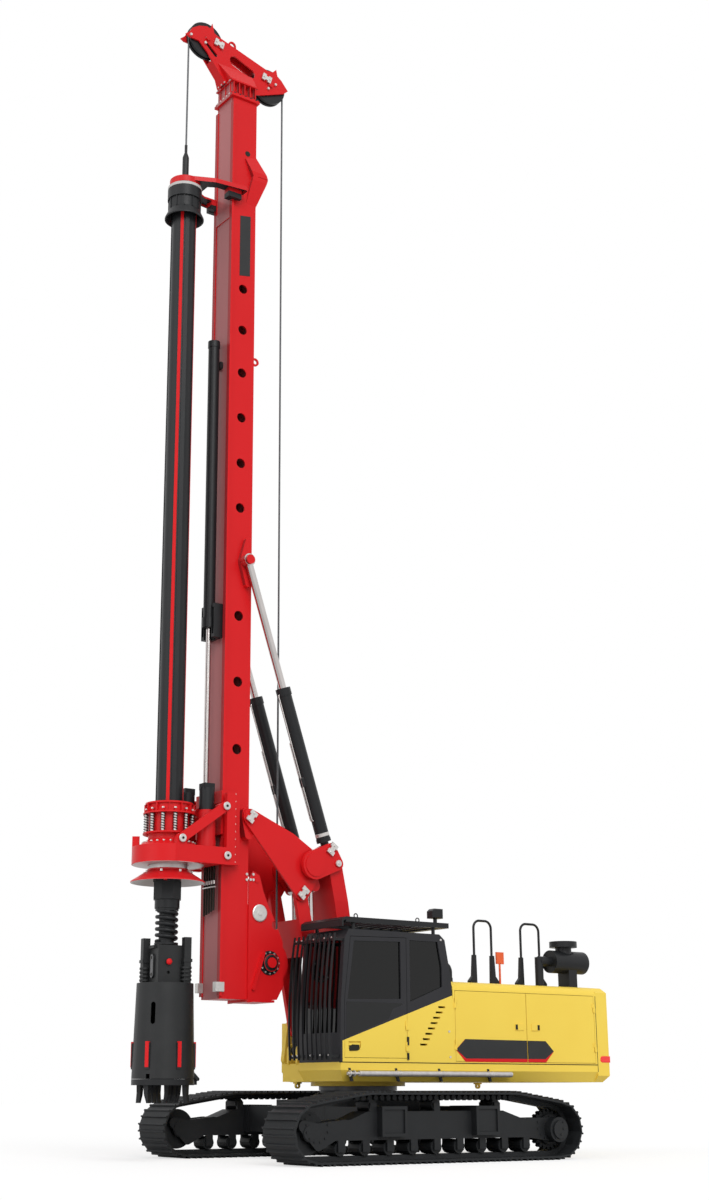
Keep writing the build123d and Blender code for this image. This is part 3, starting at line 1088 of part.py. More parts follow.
def drill_tool():
    """Drilling bucket: square kelly box between two posts, on a barrel that widens downwards."""
    half = TOOL_HEAD / 2
    head = block(-half, half, -half, half, TOOL_SHOULDER_Z - 5, TOOL_TOP_Z)
    post_at = half + 35
    for sign in (1, -1):
        x, y = -sign * post_at, sign * post_at
        head += Pos(x, y, 0) * block(-50, 50, -50, 50, TOOL_SHOULDER_Z - 5, TOOL_TOP_Z + 105)
        head += Pos(x, y, 0) * block(-62, 62, -62, 62, 2560, 2600)
        for i in range(4):
            head += Pos(x, y, 2330 + i * 52) * Cylinder(74, 26)
    head += block(-post_at, post_at, -90, 90, TOOL_TOP_Z - 40, TOOL_TOP_Z)
    link = strap(((0, 2400), 48), ((0, 2620), 48)) - disc((0, 2400), 24) - disc((0, 2620), 24)
    head += Rot(0, 0, 90) * on_xz(link, -half - 22, 5 - half)
    head += rod_y((30, 2560), 30, half - 5, half + 22)
    head -= rod_y((30, 2420), 22, half - 40, half + 5)
    tool = round_kelly(head, TOOL_TURN)
    barrel = turned([(0, TOOL_SHOULDER_Z), (TOOL_TOP_R, TOOL_SHOULDER_Z), (TOOL_R, GATE_Z), (TOOL_R - TOOL_WALL, GATE_Z),
                     (TOOL_TOP_R - TOOL_WALL, TOOL_SHOULDER_Z - 50), (0, TOOL_SHOULDER_Z - 50)])
    slot = on_yz(strap(((0, 1780), 32), ((0, 2000), 32)), 250, 500)
    barrel -= round_kelly(slot, 38) + round_kelly(block(300, 500, -28, 28, GATE_Z - 5, GATE_Z + 60), 32)
    for i in range(6):
        barrel += round_kelly(block(TOOL_R - 20, TOOL_R + 8, -36, 36, 1180, 1510), 60 * i + 30)
    for y0, y1 in ((-150, -90), (90, 150)):
        lug = strap((GATE_HINGE, 24), ((GATE_HINGE[0] + 66, GATE_HINGE[1] + 72), 16))
        barrel += on_xz(lug, y0, y1) - rod_z(KELLY_X, 0, TOOL_R - TOOL_WALL + 4, 900, 1300)
    return tool + barrel + rod_y(GATE_HINGE, GATE_PIN_R, -150, 150)


def tool_gate():
    """Bottom of the drilling bucket, hinged at its rear edge, with the cutting teeth."""
    gate = rod_z(KELLY_X, 0, TOOL_R, TOOL_BOT_Z, GATE_Z - 5)
    gate -= rod_z(KELLY_X, 0, 60, TOOL_BOT_Z - 5, GATE_Z)
    gate += rod_y(GATE_HINGE, 24, -84, 84)
    gate += block(GATE_HINGE[0] - 24, GATE_HINGE[0] + 90, -84, 84, TOOL_BOT_Z + 5, GATE_HINGE[1] - 12)
    gate -= rod_y(GATE_HINGE, GATE_PIN_R + SEAT, -90, 90)
    tooth = outline([(-40, TOOL_BOT_Z + 5), (40, TOOL_BOT_Z + 5), (34, 880), (46, TOOL_TIP_Z), (16, TOOL_TIP_Z),
                     (-24, 860)])
    for turn in (25, 205):
        for radius in (120, 230, 345):
            gate += round_kelly(Rot(0, 0, 90) * Pos(0, -radius, 0) * on_xz(tooth, -34, 34), turn)
    for turn in (115, 295):
        gate += round_kelly(Rot(0, 0, 90) * Pos(0, -365, 0) * on_xz(tooth, -30, 30), turn)
    return gate


def main():
    os.makedirs("parts", exist_ok=True)
    save("carbody", carbody())
    save("slew_ring", slew_ring())
    for name, side in (("left", 1), ("right", -1)):
        save(f"track_frame_{name}", track_frame(side))
        save(f"track_{name}", track(side))
    save("upper_frame", upper_frame())
    save("lashing_lugs", lashing_lugs())
    save("counterweight", counterweight())
    save("hood", hood())
    for name, hinge_x, free_x in HOUSE_DOORS:
        save(f"house_door_{name}", house_door(hinge_x, free_x))
    save("engine_block", engine())
    save("right_box", right_box())
    save("cab_shell", cab_shell())
    save("cab_glass", cab_glass())
    save("cab_door", cab_door())
    save("cab_door_glass", cab_door_glass())
    save("cab_seat", cab_seat())
    save("roof_guard", roof_guard())
    save("cab_front_guard", cab_front_guard())
    save("handrails", handrails())
    save("air_cleaner", air_cleaner())
    save("roof_fittings", roof_fittings())
    save("side_rail", side_rail())
    save("boom", boom())
    save("boom_link", boom_link())
    save("triangle", triangle())
    save("boom_cylinder_barrels", boom_cylinder_barrels())
    save("boom_cylinder_rods", boom_cylinder_rods())
    save("luffing_barrels", luffing_barrels())
    save("luffing_rods", luffing_rods())
    save("mast_box", mast_box())
    save("mast_head", mast_head())
    front, rear = hoist_ropes()
    save("hoist_rope", rear)
    save("winch_frame", winch_frame())
    save("winch_drum", winch_drum())
    save("front_sheave", sheave(FRONT_SHEAVE))
    save("rear_sheave", sheave(REAR_SHEAVE))
    save("crowd_barrel", crowd_barrel())
    save("carriage", carriage())
    save("gearbox", gearbox())
    save("drive_motors", drive_motors())
    save("buffer_basket", buffer_basket())
    save("casing_cone", casing_cone())
    save("crowd_rod", crowd_rod())
    save("kelly_guide", kelly_guide())
    save("rope_swivel", rope_swivel())
    save("kelly_rope", front)
    save("kelly_bar", kelly_bar())
    save("kelly_spring", kelly_spring())
    save("drill_tool", drill_tool())
    save("tool_gate", tool_gate())


main()
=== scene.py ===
import bmesh
import bpy
import json
import math
from mathutils import Matrix, Vector
from mathutils.bvhtree import BVHTree


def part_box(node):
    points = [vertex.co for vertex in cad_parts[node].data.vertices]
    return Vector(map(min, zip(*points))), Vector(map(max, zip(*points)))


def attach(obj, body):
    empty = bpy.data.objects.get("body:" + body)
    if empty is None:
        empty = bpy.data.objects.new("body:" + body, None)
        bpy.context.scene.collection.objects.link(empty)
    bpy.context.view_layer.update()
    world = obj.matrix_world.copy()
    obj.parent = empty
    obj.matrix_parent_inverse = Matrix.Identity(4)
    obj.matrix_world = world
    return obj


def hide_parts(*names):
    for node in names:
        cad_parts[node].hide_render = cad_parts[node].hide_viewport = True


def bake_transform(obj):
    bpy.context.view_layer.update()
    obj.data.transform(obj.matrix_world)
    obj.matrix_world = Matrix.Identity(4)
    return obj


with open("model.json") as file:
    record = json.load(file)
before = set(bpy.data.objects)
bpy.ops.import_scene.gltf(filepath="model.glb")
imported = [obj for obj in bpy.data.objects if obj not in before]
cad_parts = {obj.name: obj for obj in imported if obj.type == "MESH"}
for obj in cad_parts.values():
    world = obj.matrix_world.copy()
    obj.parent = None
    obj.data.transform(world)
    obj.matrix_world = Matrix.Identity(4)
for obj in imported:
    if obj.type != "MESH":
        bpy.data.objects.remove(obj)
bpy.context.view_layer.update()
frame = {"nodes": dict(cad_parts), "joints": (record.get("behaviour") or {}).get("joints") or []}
node_of = frame["nodes"]

# ---- where the machine stands ----
# A level pale floor under an even white sky, with the camera near the ground and looking up.
# The sky is seen white by eye, in gloss and through glass, and lights the machine more softly.
WHITE = (1.0, 1.0, 1.0, 1.0)
SKY_LIGHT = 0.58
FLOOR_REACH = 90
scene = bpy.context.scene
scene.view_settings.view_transform = "Standard"


def linear(hex_colour):
    """An sRGB colour such as #d8262b, as linear red, green, blue and alpha."""
    values = [int(hex_colour[i:i + 2], 16) / 255 for i in (1, 3, 5)]
    return tuple(v / 12.92 if v <= 0.04045 else ((v + 0.055) / 1.055) ** 2.4 for v in values) + (1.0,)


def add(tree, kind, settings=None, inputs=None):
    """A node with its settings, and its inputs given as values or as other nodes' outputs."""
    made = tree.nodes.new(kind)
    for name, value in (settings or {}).items():
        setattr(made, name, value)
    for name, value in (inputs or {}).items():
        if isinstance(value, bpy.types.NodeSocket):
            tree.links.new(value, made.inputs[name])
        else:
            made.inputs[name].default_value = value
    return made


def new_tree(owner):
    """An empty node tree on a material or the world."""
    owner.use_nodes = True
    owner.node_tree.nodes.clear()
    return owner.node_tree


sky = bpy.data.worlds.new("sky")
scene.world = sky
tree = new_tree(sky)
rays = add(tree, "ShaderNodeLightPath")
seen = rays.outputs["Is Camera Ray"]
for kind in ("Is Transmission Ray", "Is Glossy Ray"):
    seen = add(tree, "ShaderNodeMath", {"operation": "MAXIMUM"}, {0: seen, 1: rays.outputs[kind]}).outputs[0]
level = add(tree, "ShaderNodeMapRange", None, {"Value": seen, "To Min": SKY_LIGHT, "To Max": 1.0})
light = add(tree, "ShaderNodeBackground", None, {"Color": WHITE, "Strength": level.outputs[0]})
add(tree, "ShaderNodeOutputWorld", None, {"Surface": light.outputs[0]})

floor_mesh = bpy.data.meshes.new("floor")
floor_mesh.from_pydata([(-FLOOR_REACH, -FLOOR_REACH, 0), (FLOOR_REACH, -FLOOR_REACH, 0),
                        (FLOOR_REACH, FLOOR_REACH, 0), (-FLOOR_REACH, FLOOR_REACH, 0)], [], [(0, 1, 2, 3)])
floor = bpy.data.objects.new("floor", floor_mesh)
scene.collection.objects.link(floor)

# The floor keeps shadows in its matt share and is lifted towards white by its glow. To all but
# the camera it is a plain pale floor.
pale_floor = bpy.data.materials.new("pale_floor")
tree = new_tree(pale_floor)
rays = add(tree, "ShaderNodeLightPath")
matt = add(tree, "ShaderNodeBsdfDiffuse", None, {"Color": (0.42, 0.42, 0.42, 1.0)})
glow = add(tree, "ShaderNodeEmission", None, {"Color": WHITE, "Strength": 0.62})
both = add(tree, "ShaderNodeAddShader", None, {0: matt.outputs[0], 1: glow.outputs[0]})
plain = add(tree, "ShaderNodeBsdfDiffuse", None, {"Color": (0.75, 0.75, 0.75, 1.0)})
mix = add(tree, "ShaderNodeMixShader", None,
          {0: rays.outputs["Is Camera Ray"], 1: plain.outputs[0], 2: both.outputs[0]})
add(tree, "ShaderNodeOutputMaterial", None, {"Surface": mix.outputs[0]})
floor_mesh.materials.append(pale_floor)

camera_data = bpy.data.cameras.new("camera")
camera_data.lens = 50.12
camera_data.shift_x = 0.0332
camera_data.shift_y = -0.0082
camera_data.clip_end = 300
camera = bpy.data.objects.new("camera", camera_data)
camera.location = (14.567, 20.022, 0.909)
camera.rotation_euler = Vector((-0.5442, -0.7884, 0.2871)).to_track_quat("-Z", "Y").to_euler()
scene.collection.objects.link(camera)
scene.camera = camera

# each lamp: the direction its light comes from, its strength, and its softness in degrees
LAMPS = (((0.25, 0.85, 0.62), 1.52, 35), ((0.9, 0.1, 0.45), 0.6, 50))
for i, (direction, strength, softness) in enumerate(LAMPS):
    lamp = bpy.data.lights.new(f"lamp_{i}", "SUN")
    lamp.energy = strength
    lamp.angle = math.radians(softness)
    lamp_object = bpy.data.objects.new(f"lamp_{i}", lamp)
    lamp_object.rotation_euler = (-Vector(direction)).to_track_quat("-Z", "Y").to_euler()
    scene.collection.objects.link(lamp_object)

# ---- side frames and carbody ----
# Steel weldments and castings that carry the machine on its tracks, sprayed in black enamel.
# The casting's skin breaks the paint's soft gloss.
SOCKETS = {"metallic": "Metallic", "specular": "Specular IOR Level", "ior": "IOR", "coat": "Coat Weight",
           "transmission": "Transmission Weight"}
GRAIN_HEIGHT = 0.002


def mottled(name, dark, bright, patch_mm, rough, grain_mm, bump, **shader):
    """A material whose colour and roughness drift over patches, each between two values, with a
    fine grain in relief. The rest of its shader is given by the names in SOCKETS."""
    material = bpy.data.materials.new(name)
    tree = new_tree(material)
    place = add(tree, "ShaderNodeTexCoord", {"name": "place"})
    patches = add(tree, "ShaderNodeTexNoise", None,
                  {"Vector": place.outputs["Object"], "Scale": 1000 / patch_mm, "Detail": 3.0})
    colour = add(tree, "ShaderNodeMix", {"data_type": "RGBA"},
                 {0: patches.outputs["Fac"], 6: linear(dark), 7: linear(bright)})
    gloss = add(tree, "ShaderNodeMapRange", None,
                {"Value": patches.outputs["Fac"], "To Min": rough[0], "To Max": rough[1]})
    grain = add(tree, "ShaderNodeTexNoise", None,
                {"Vector": place.outputs["Object"], "Scale": 1000 / grain_mm})
    relief = add(tree, "ShaderNodeBump", None,
                 {"Height": grain.outputs["Fac"], "Strength": bump, "Distance": GRAIN_HEIGHT})
    surface = add(tree, "ShaderNodeBsdfPrincipled", {"name": "surface"},
                  {"Base Color": colour.outputs[2], "Roughness": gloss.outputs[0],
                   "Normal": relief.outputs[0]})
    for key, value in shader.items():
        surface.inputs[SOCKETS[key]].default_value = value
    add(tree, "ShaderNodeOutputMaterial", None, {"Surface": surface.outputs[0]})
    return material


def dress(material, *names):
    """Gives CAD nodes a material in all their slots."""
    for name in names:
        for slot in node_of[name].material_slots:
            slot.material = material


black_casting = mottled("black_enamel_on_cast_steel", "#151618", "#202224", patch_mm=260, rough=(0.42, 0.58),
                        grain_mm=14, bump=0.25, specular=0.3)
dress(black_casting, "carbody", "track_frame_left", "track_frame_right")

# ---- tracks ----
# Forged steel shoes bolted to a chain and painted black: duller than the frames, with the scale
# of hot forming under the paint. The ends of the chain's pins show in a row under the top shoes.
shoe_steel = mottled("black_painted_forged_steel", "#141517", "#252729", patch_mm=120, rough=(0.5, 0.7),
                     grain_mm=9, bump=0.35, specular=0.3)
dress(shoe_steel, "track_left", "track_right")

SIDES = ((1, "left"), (-1, "right"))
BESIDE = 3.0   # further out than either side of the machine
surfaces = {}


def land(node, starts, towards):
    """Where lines from the starts meet a CAD node, each with the direction that leads back out."""
    if node not in surfaces:
        mesh = node_of[node].data
        surfaces[node] = BVHTree.FromPolygons([v.co for v in mesh.vertices],
                                              [p.vertices for p in mesh.polygons])
    heading = Vector(towards).normalized()
    hits = [surfaces[node].ray_cast(Vector(start), heading)[0] for start in starts]
    return [(hit, -heading) for hit in hits if hit is not None]


def land_beside(node, side, places):
    """The same for (x, z) places that are met from the machine's left (1) or right (-1)."""
    return land(node, [(x, side * BESIDE, z) for x, z in places], (0, -side, 0))


def new_steps(name, *inputs):
    """A geometry tree with a mesh going in, further named inputs, and a mesh coming out."""
    steps = bpy.data.node_groups.new(name, "GeometryNodeTree")
    steps.interface.new_socket(name="Mesh", in_out="OUTPUT", socket_type="NodeSocketGeometry")
    steps.interface.new_socket(name="Places", in_out="INPUT", socket_type="NodeSocketGeometry")
    for label, kind in inputs + (("Finish", "Material"),):
        steps.interface.new_socket(name=label, in_out="INPUT", socket_type="NodeSocket" + kind)
    return steps, add(steps, "NodeGroupInput").outputs


def end_steps(steps, made, finish):
    """Makes the copies real, gives them their material and hands them out."""
    real = add(steps, "GeometryNodeRealizeInstances", None, {0: made})
    done = add(steps, "GeometryNodeSetMaterial", None, {"Geometry": real.outputs[0], "Material": finish})
    add(steps, "NodeGroupOutput", None, {0: done.outputs[0]})


def run_steps(name, body, steps, corners, edges, outs, **values):
    """Runs a geometry tree on points or lines and keeps its result as a plain mesh, which rides on
    a body where one is named."""
    places = bpy.data.meshes.new(name + "_places")
    places.from_pydata([tuple(c) for c in corners], edges, [])
    if outs:
        away = places.attributes.new("away", "FLOAT_VECTOR", "POINT")
        away.data.foreach_set("vector", [value for out in outs for value in out])
    maker = bpy.data.objects.new(name + "_maker", places)
    scene.collection.objects.link(maker)
    modifier = maker.modifiers.new("steps", "NODES")
    modifier.node_group = steps
    for item in steps.interface.items_tree:
        if item.in_out == "INPUT" and item.name in values:
            modifier[item.identifier] = values[item.name]
    result = bpy.data.meshes.new_from_object(maker.evaluated_get(bpy.context.evaluated_depsgraph_get()))
    result.name = name
    bpy.data.objects.remove(maker)
    piece = bpy.data.objects.new(name, result)
    scene.collection.objects.link(piece)
    if body:
        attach(piece, body)
    return piece


# Bolt heads: a many-sided head on each place, standing the way the place faces. Its middle is
# 0.45 of its height up, so that its foot is a little way in.
bolt_steps, given = new_steps("bolt_heads", ("Radius", "Float"), ("Height", "Float"), ("Sides", "Int"))
head = add(bolt_steps, "GeometryNodeMeshCylinder", None,
           {"Vertices": given["Sides"], "Radius": given["Radius"], "Depth": given["Height"]})
lift = add(bolt_steps, "ShaderNodeMath", {"operation": "MULTIPLY"}, {0: given["Height"], 1: 0.45})
lift = add(bolt_steps, "ShaderNodeCombineXYZ", None, {"Z": lift.outputs[0]})
head = add(bolt_steps, "GeometryNodeTransform", None,
           {"Geometry": head.outputs[0], "Translation": lift.outputs[0]})
away = add(bolt_steps, "GeometryNodeInputNamedAttribute", {"data_type": "FLOAT_VECTOR"}, {"Name": "away"})
turn = add(bolt_steps, "FunctionNodeAlignRotationToVector", {"axis": "Z"}, {"Vector": away.outputs[0]})
copies = add(bolt_steps, "GeometryNodeInstanceOnPoints", None,
             {"Points": given["Places"], "Instance": head.outputs[0], "Rotation": turn.outputs[0]})
end_steps(bolt_steps, copies.outputs[0], given["Finish"])


def bolts(name, body, material, radius, height, places, sides=6):
    """Bolt heads on places that are (point, outward direction) pairs."""
    run_steps(name, body, bolt_steps, [point for point, _ in places], [], [out for _, out in places],
              Radius=radius, Height=height, Sides=sides, Finish=material)


PINS, FIRST_PIN, PIN_PITCH, PIN_HEIGHT = 27, -1.3, 0.1, 0.822
for side, name in SIDES:
    pins = land_beside(f"track_{name}", side, [(FIRST_PIN + PIN_PITCH * i, PIN_HEIGHT) for i in range(PINS)])
    bolts(f"chain_pins_{name}", "undercarriage", shoe_steel, radius=0.036, height=0.06, places=pins, sides=12)

# ---- slewing ring ----
# The bearing that the upper machine turns on: a machined ring of bare ground steel, bolted down
# and dark under a film of grease.
ring_steel = mottled("ground_bearing_steel", "#3a3a3c", "#5a5a5c", patch_mm=90, rough=(0.3, 0.45),
                     grain_mm=5, bump=0.1, metallic=1.0)
dress(ring_steel, "slew_ring")

# ---- final drives ----
# A round cover closes each end of a side frame, over the reduction gear or the idler's bearing.
# It is held by a ring of twelve bolts that are painted with the frame.
COVERS = ((-1.94, 0.45), (1.94, 0.45))
COVER_BOLTS = 0.17


def turned(centre, along, across, degrees):
    """A point given along and across a line through a centre, with the line turned."""
    c, s = math.cos(math.radians(degrees)), math.sin(math.radians(degrees))
    return centre[0] + along * c - across * s, centre[1] + along * s + across * c


for side, name in SIDES:
    heads = [turned(cover, COVER_BOLTS, 0, angle) for cover in COVERS for angle in range(15, 360, 30)]
    bolts(f"final_drive_bolts_{name}", "undercarriage", black_casting, radius=0.014, height=0.012,
          places=land_beside(f"track_frame_{name}", side, heads))

# ---- engine house, deck and tail weight ----
# Pressed panels, a welded deck and a cast tail weight, sprayed in a warm yellow enamel that is
# even and softly glossy. Black rubber seals fill the gaps over the deck and before the tail.
HOUSE_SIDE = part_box("counterweight")[1][1]
DECK_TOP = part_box("hood")[0][2]
SEAL_DEPTH, SEAL_PROUD = 0.02, 0.0015
yellow_enamel = mottled("yellow_enamel", "#ecc94e", "#f1d45a", patch_mm=900, rough=(0.32, 0.42),
                        grain_mm=30, bump=0.03, specular=0.2)
dress(yellow_enamel, "upper_frame", "lashing_lugs", "counterweight", "hood", "house_door_front",
      "house_door_rear", "right_box")

# black synthetic rubber, matt and faintly brown; the same material also stands as painted shade in holes
rubber_and_hole_shade = mottled("black_rubber_and_hole_shade", "#14130e", "#232118", patch_mm=60, rough=(0.6, 0.8),
                      grain_mm=6, bump=0.2, specular=0.3)


def mesh_piece(name, body, material, *shells):
    """One object on a body from closed shells, each a list of corners and a list of faces."""
    corners, faces = [], []
    for shell_corners, shell_faces in shells:
        faces += [tuple(len(corners) + i for i in face) for face in shell_faces]
        corners += [tuple(c) for c in shell_corners]
    mesh = bpy.data.meshes.new(name)
    mesh.from_pydata(corners, [], faces)
    shaped = bmesh.new()
    shaped.from_mesh(mesh)
    bmesh.ops.recalc_face_normals(shaped, faces=shaped.faces)
    shaped.to_mesh(mesh)
    shaped.free()
    mesh.materials.append(material)
    piece = bpy.data.objects.new(name, mesh)
    scene.collection.objects.link(piece)
    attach(piece, body)


def wall(count, rings):
    """Faces between rings of corners that follow one another, with as many corners in each."""
    return [(ring * count + i, ring * count + (i + 1) % count,
             (ring + 1) * count + (i + 1) % count, (ring + 1) * count + i)
            for ring in range(rings - 1) for i in range(count)]


def plate(outline, low, high, axis="y", bevel=0.0):
    """A flat plate from its outline, between two places along an axis, its far edges broken."""
    order = {"x": lambda a, b, c: (c, a, b), "y": lambda a, b, c: (a, c, b)}[axis]
    middle = [sum(p[i] for p in outline) / len(outline) for i in (0, 1)]
    rings = [(low, 0.0), (high, 0.0)]
    if bevel:
        rings = [(low, 0.0), (high - math.copysign(bevel, high - low), 0.0), (high, bevel)]
    corners, count = [], len(outline)
    for level, inset in rings:
        for a, b in outline:
            step = inset / (math.hypot(a - middle[0], b - middle[1]) or 1.0)
            corners.append(order(a - (a - middle[0]) * step, b - (b - middle[1]) * step, level))
    ends = [tuple(range(count)), tuple(range(len(corners) - count, len(corners)))]
    return corners, ends + wall(count, len(rings))


def rectangle(left, right, low, high):
    """The outline of an upright rectangle."""
    return [(left, low), (right, low), (right, high), (left, high)]


mesh_piece("deck_seal", "upper", rubber_and_hole_shade,
           plate(rectangle(-3.29, 1.34, DECK_TOP - 0.007, DECK_TOP + 0.005),
                 HOUSE_SIDE - SEAL_DEPTH, HOUSE_SIDE + SEAL_PROUD))
mesh_piece("tail_seal", "upper", rubber_and_hole_shade,
           plate(rectangle(-3.299, -3.289, 1.172, 2.25), HOUSE_SIDE - SEAL_DEPTH, HOUSE_SIDE + SEAL_PROUD))

# ---- engine, air cleaner and rails on the roof ----
# Cast, pressed and tubular parts in plain black enamel with a soft gloss. The handrails stand on
# plate gussets that flare down to the roof.
ROOF = 2.377
RAIL_Y = 1.0
GUSSET = ((-0.03, 0), (0.11, 0), (0.115, 0.05), (0.05, 0.12), (0.028, 0.42), (-0.02, 0.42))
GUSSET_HALF = 0.028
black_enamel = mottled("black_enamel", "#17181a", "#212224", patch_mm=400, rough=(0.34, 0.46),
                       grain_mm=25, bump=0.05, specular=0.25)
dress(black_enamel, "engine_block", "handrails", "air_cleaner", "roof_fittings")
feet = []
# each foot: where its rail stands, and which way the gusset flares
for x, flare in ((-1.37, 1), (-1.70, -1), (-2.27, 1), (-2.63, -1)):
    feet.append(plate([(x + flare * along, ROOF + up) for along, up in GUSSET],
                      RAIL_Y - GUSSET_HALF, RAIL_Y + GUSSET_HALF, bevel=0.004))
mesh_piece("handrail_feet", "upper", black_enamel, *feet)

# ---- sign plate on the service doors ----
# A blank black pressed sheet over a red one that shows along its lower edge, both bonded to the
# doors. It is cut where the doors part, so that both halves swing with their doors.
SIGN_EDGE = [(-0.622, 1.455), (-0.79, 1.598), (-2.283, 1.592), (-2.433, 1.45), (-2.28, 1.299), (-0.79, 1.294)]
SIGN_FACE = [(-0.624, 1.456), (-0.79, 1.598), (-2.283, 1.592), (-2.431, 1.452), (-2.27, 1.345), (-0.8, 1.338)]
SEAM_X, SEAM_HALF = -1.934, 0.008

# deep red enamel of the working parts, even and glossier than the yellow
red_enamel = mottled("red_enamel", "#cd161b", "#d61c20", patch_mm=900, rough=(0.28, 0.38),
                     grain_mm=30, bump=0.03, specular=0.2)
# dark pressed sheet with the fine waviness of pressing
sign_black = mottled("black_pressed_sheet", "#1f2021", "#2c2d2e", patch_mm=300, rough=(0.45, 0.55),
                     grain_mm=40, bump=0.25, specular=0.3)


def cut_at(outline, x, keep):
    """The part of an outline before (keep 1) or behind (keep -1) a vertical line."""
    kept = []
    for (ax, az), (bx, bz) in zip(outline, outline[1:] + outline[:1]):
        if (ax - x) * keep >= 0:
            kept.append((ax, az))
        if (ax - x) * (bx - x) < 0:
            kept.append((x, az + (bz - az) * (x - ax) / (bx - ax)))
    return kept


for keep, door in ((1, "front"), (-1, "rear")):
    seam = SEAM_X + keep * SEAM_HALF
    mesh_piece(f"sign_edge_{door}", f"house_door_{door}", red_enamel,
               plate(cut_at(SIGN_EDGE, seam, keep), HOUSE_SIDE - 0.004, HOUSE_SIDE + 0.004, bevel=0.001))
    mesh_piece(f"sign_face_{door}", f"house_door_{door}", sign_black,
               plate(cut_at(SIGN_FACE, seam, keep), HOUSE_SIDE, HOUSE_SIDE + 0.006, bevel=0.001))

# ---- latches of the service doors ----
# A shallow pressed cover, painted with the door, round a finger hole whose dark depth is painted shade, a
# black block.
# There is one on each door, beside the seam.
COVER_LOW, COVER_HIGH = 1.735, 1.825
HOLE_LOW, HOLE_HIGH, HOLE_HALF = 1.74, 1.815, 0.022
# each latch: its cover's two ends, the middle of its hole, and its door
for left, right, hole, door in ((-1.87, -1.71, -1.735, "front"), (-2.175, -2.02, -2.15, "rear")):
    mesh_piece(f"latch_cover_{door}", f"house_door_{door}", yellow_enamel,
               plate(rectangle(left, right, COVER_LOW, COVER_HIGH),
                     HOUSE_SIDE - 0.004, HOUSE_SIDE + 0.013, bevel=0.004))
    # painted shade: a black block stands for the finger hole's depth
    mesh_piece(f"latch_{door}", f"house_door_{door}", rubber_and_hole_shade,
               plate(rectangle(hole - HOLE_HALF, hole + HOLE_HALF, HOLE_LOW, HOLE_HIGH),
                     HOUSE_SIDE, HOUSE_SIDE + 0.0145, bevel=0.003))

# ---- reflectors ----
# Moulded red acrylic with one rounded end, glued to each side of the tail weight. The clear coat
# and the fine prisms under it catch the light.
reflector = mottled("red_reflector_acrylic", "#e8130b", "#f41b10", patch_mm=40, rough=(0.15, 0.25),
                    grain_mm=8, bump=0.3, coat=0.6, ior=1.49)
round_end = [(-3.385 + 0.04 * math.cos(math.radians(angle)), 1.352 + 0.045 * math.sin(math.radians(angle)))
             for angle in range(90, -91, -30)]
for side, name in SIDES:
    mesh_piece(f"reflector_{name}", "upper", reflector,
               plate(round_end + [(-3.54, 1.307), (-3.54, 1.397)],
                     side * (HOUSE_SIDE - 0.006), side * (HOUSE_SIDE + 0.008), bevel=0.004))

# ---- warning board ----
# A blank sheet on a thin round post that stands on the roof between the handrails. Both are
# painted orange-red, with the low gloss of outdoor enamel.
BOARD_FOOT, BOARD_TOP = 2.685, 2.855
warning_paint = mottled("orange_red_enamel", "#d9582f", "#e8683a", patch_mm=120, rough=(0.4, 0.5),
                        grain_mm=20, bump=0.05, specular=0.3)
mesh_piece("warning_board", "upper", warning_paint,
           plate(rectangle(-1.925, -1.785, BOARD_FOOT, BOARD_TOP),
                 RAIL_Y - 0.012, RAIL_Y + 0.013, bevel=0.003))

# Bent pipes: each run of points becomes a round pipe whose corners are bent to one radius.
pipe_steps, given = new_steps("bent_pipes", ("Radius", "Float"), ("Bend", "Float"), ("Sides", "Int"))
line = add(pipe_steps, "GeometryNodeMeshToCurve", None, {0: given["Places"]})
bent = add(pipe_steps, "GeometryNodeFilletCurve", None,
           {"Curve": line.outputs[0], "Radius": given["Bend"], "Limit Radius": True})
ring = add(pipe_steps, "GeometryNodeCurvePrimitiveCircle", None,
           {"Resolution": given["Sides"], "Radius": given["Radius"]})
pipe = add(pipe_steps, "GeometryNodeCurveToMesh", None,
           {"Curve": bent.outputs[0], "Profile Curve": ring.outputs[0], "Fill Caps": True})
end_steps(pipe_steps, pipe.outputs[0], given["Finish"])


def pipes(name, body, material, radius, runs, bend=0.03, sides=10):
    """Pipes or hoses along runs of points."""
    corners = [p for run in runs for p in run]
    edges, start = [], 0
    for run in runs:
        edges += [(start + i, start + i + 1) for i in range(len(run) - 1)]
        start += len(run)
    return run_steps(name, body, pipe_steps, corners, edges, None,
                     Radius=radius, Bend=bend, Sides=sides, Finish=material)


pipes("warning_post", "upper", warning_paint, radius=0.0155,
      runs=[[(-1.85, RAIL_Y, ROOF), (-1.85, RAIL_Y, BOARD_FOOT + 0.005)]])

# ---- side tube ----
# A bright galvanised tube along the skirt, with a thinner tube sliding out of its front end. Four
# pairs of zinc-plated clamps hold it on slanting black feet, and it stands for the plain rail.
TUBE = (1.486, 1.128)   # its axis: how far out and how high
CLAMPS = (1.174, 0.405, -0.333, -1.207)

# zinc dipped on steel: grey, with patches of crystals that differ in gloss
galvanised = mottled("galvanised_steel_tube", "#a9a5a6", "#d9d6d4", patch_mm=70, rough=(0.3, 0.5),
                     grain_mm=8, bump=0.15, metallic=0.5)
# zinc-plated steel of clamps, bolt heads, pin caps and keeper plates: pale, with a satin gloss
zinc = mottled("zinc_plated_steel", "#bdb9b6", "#dedbd8", patch_mm=45, rough=(0.3, 0.45),
               grain_mm=4, bump=0.08, metallic=0.7)


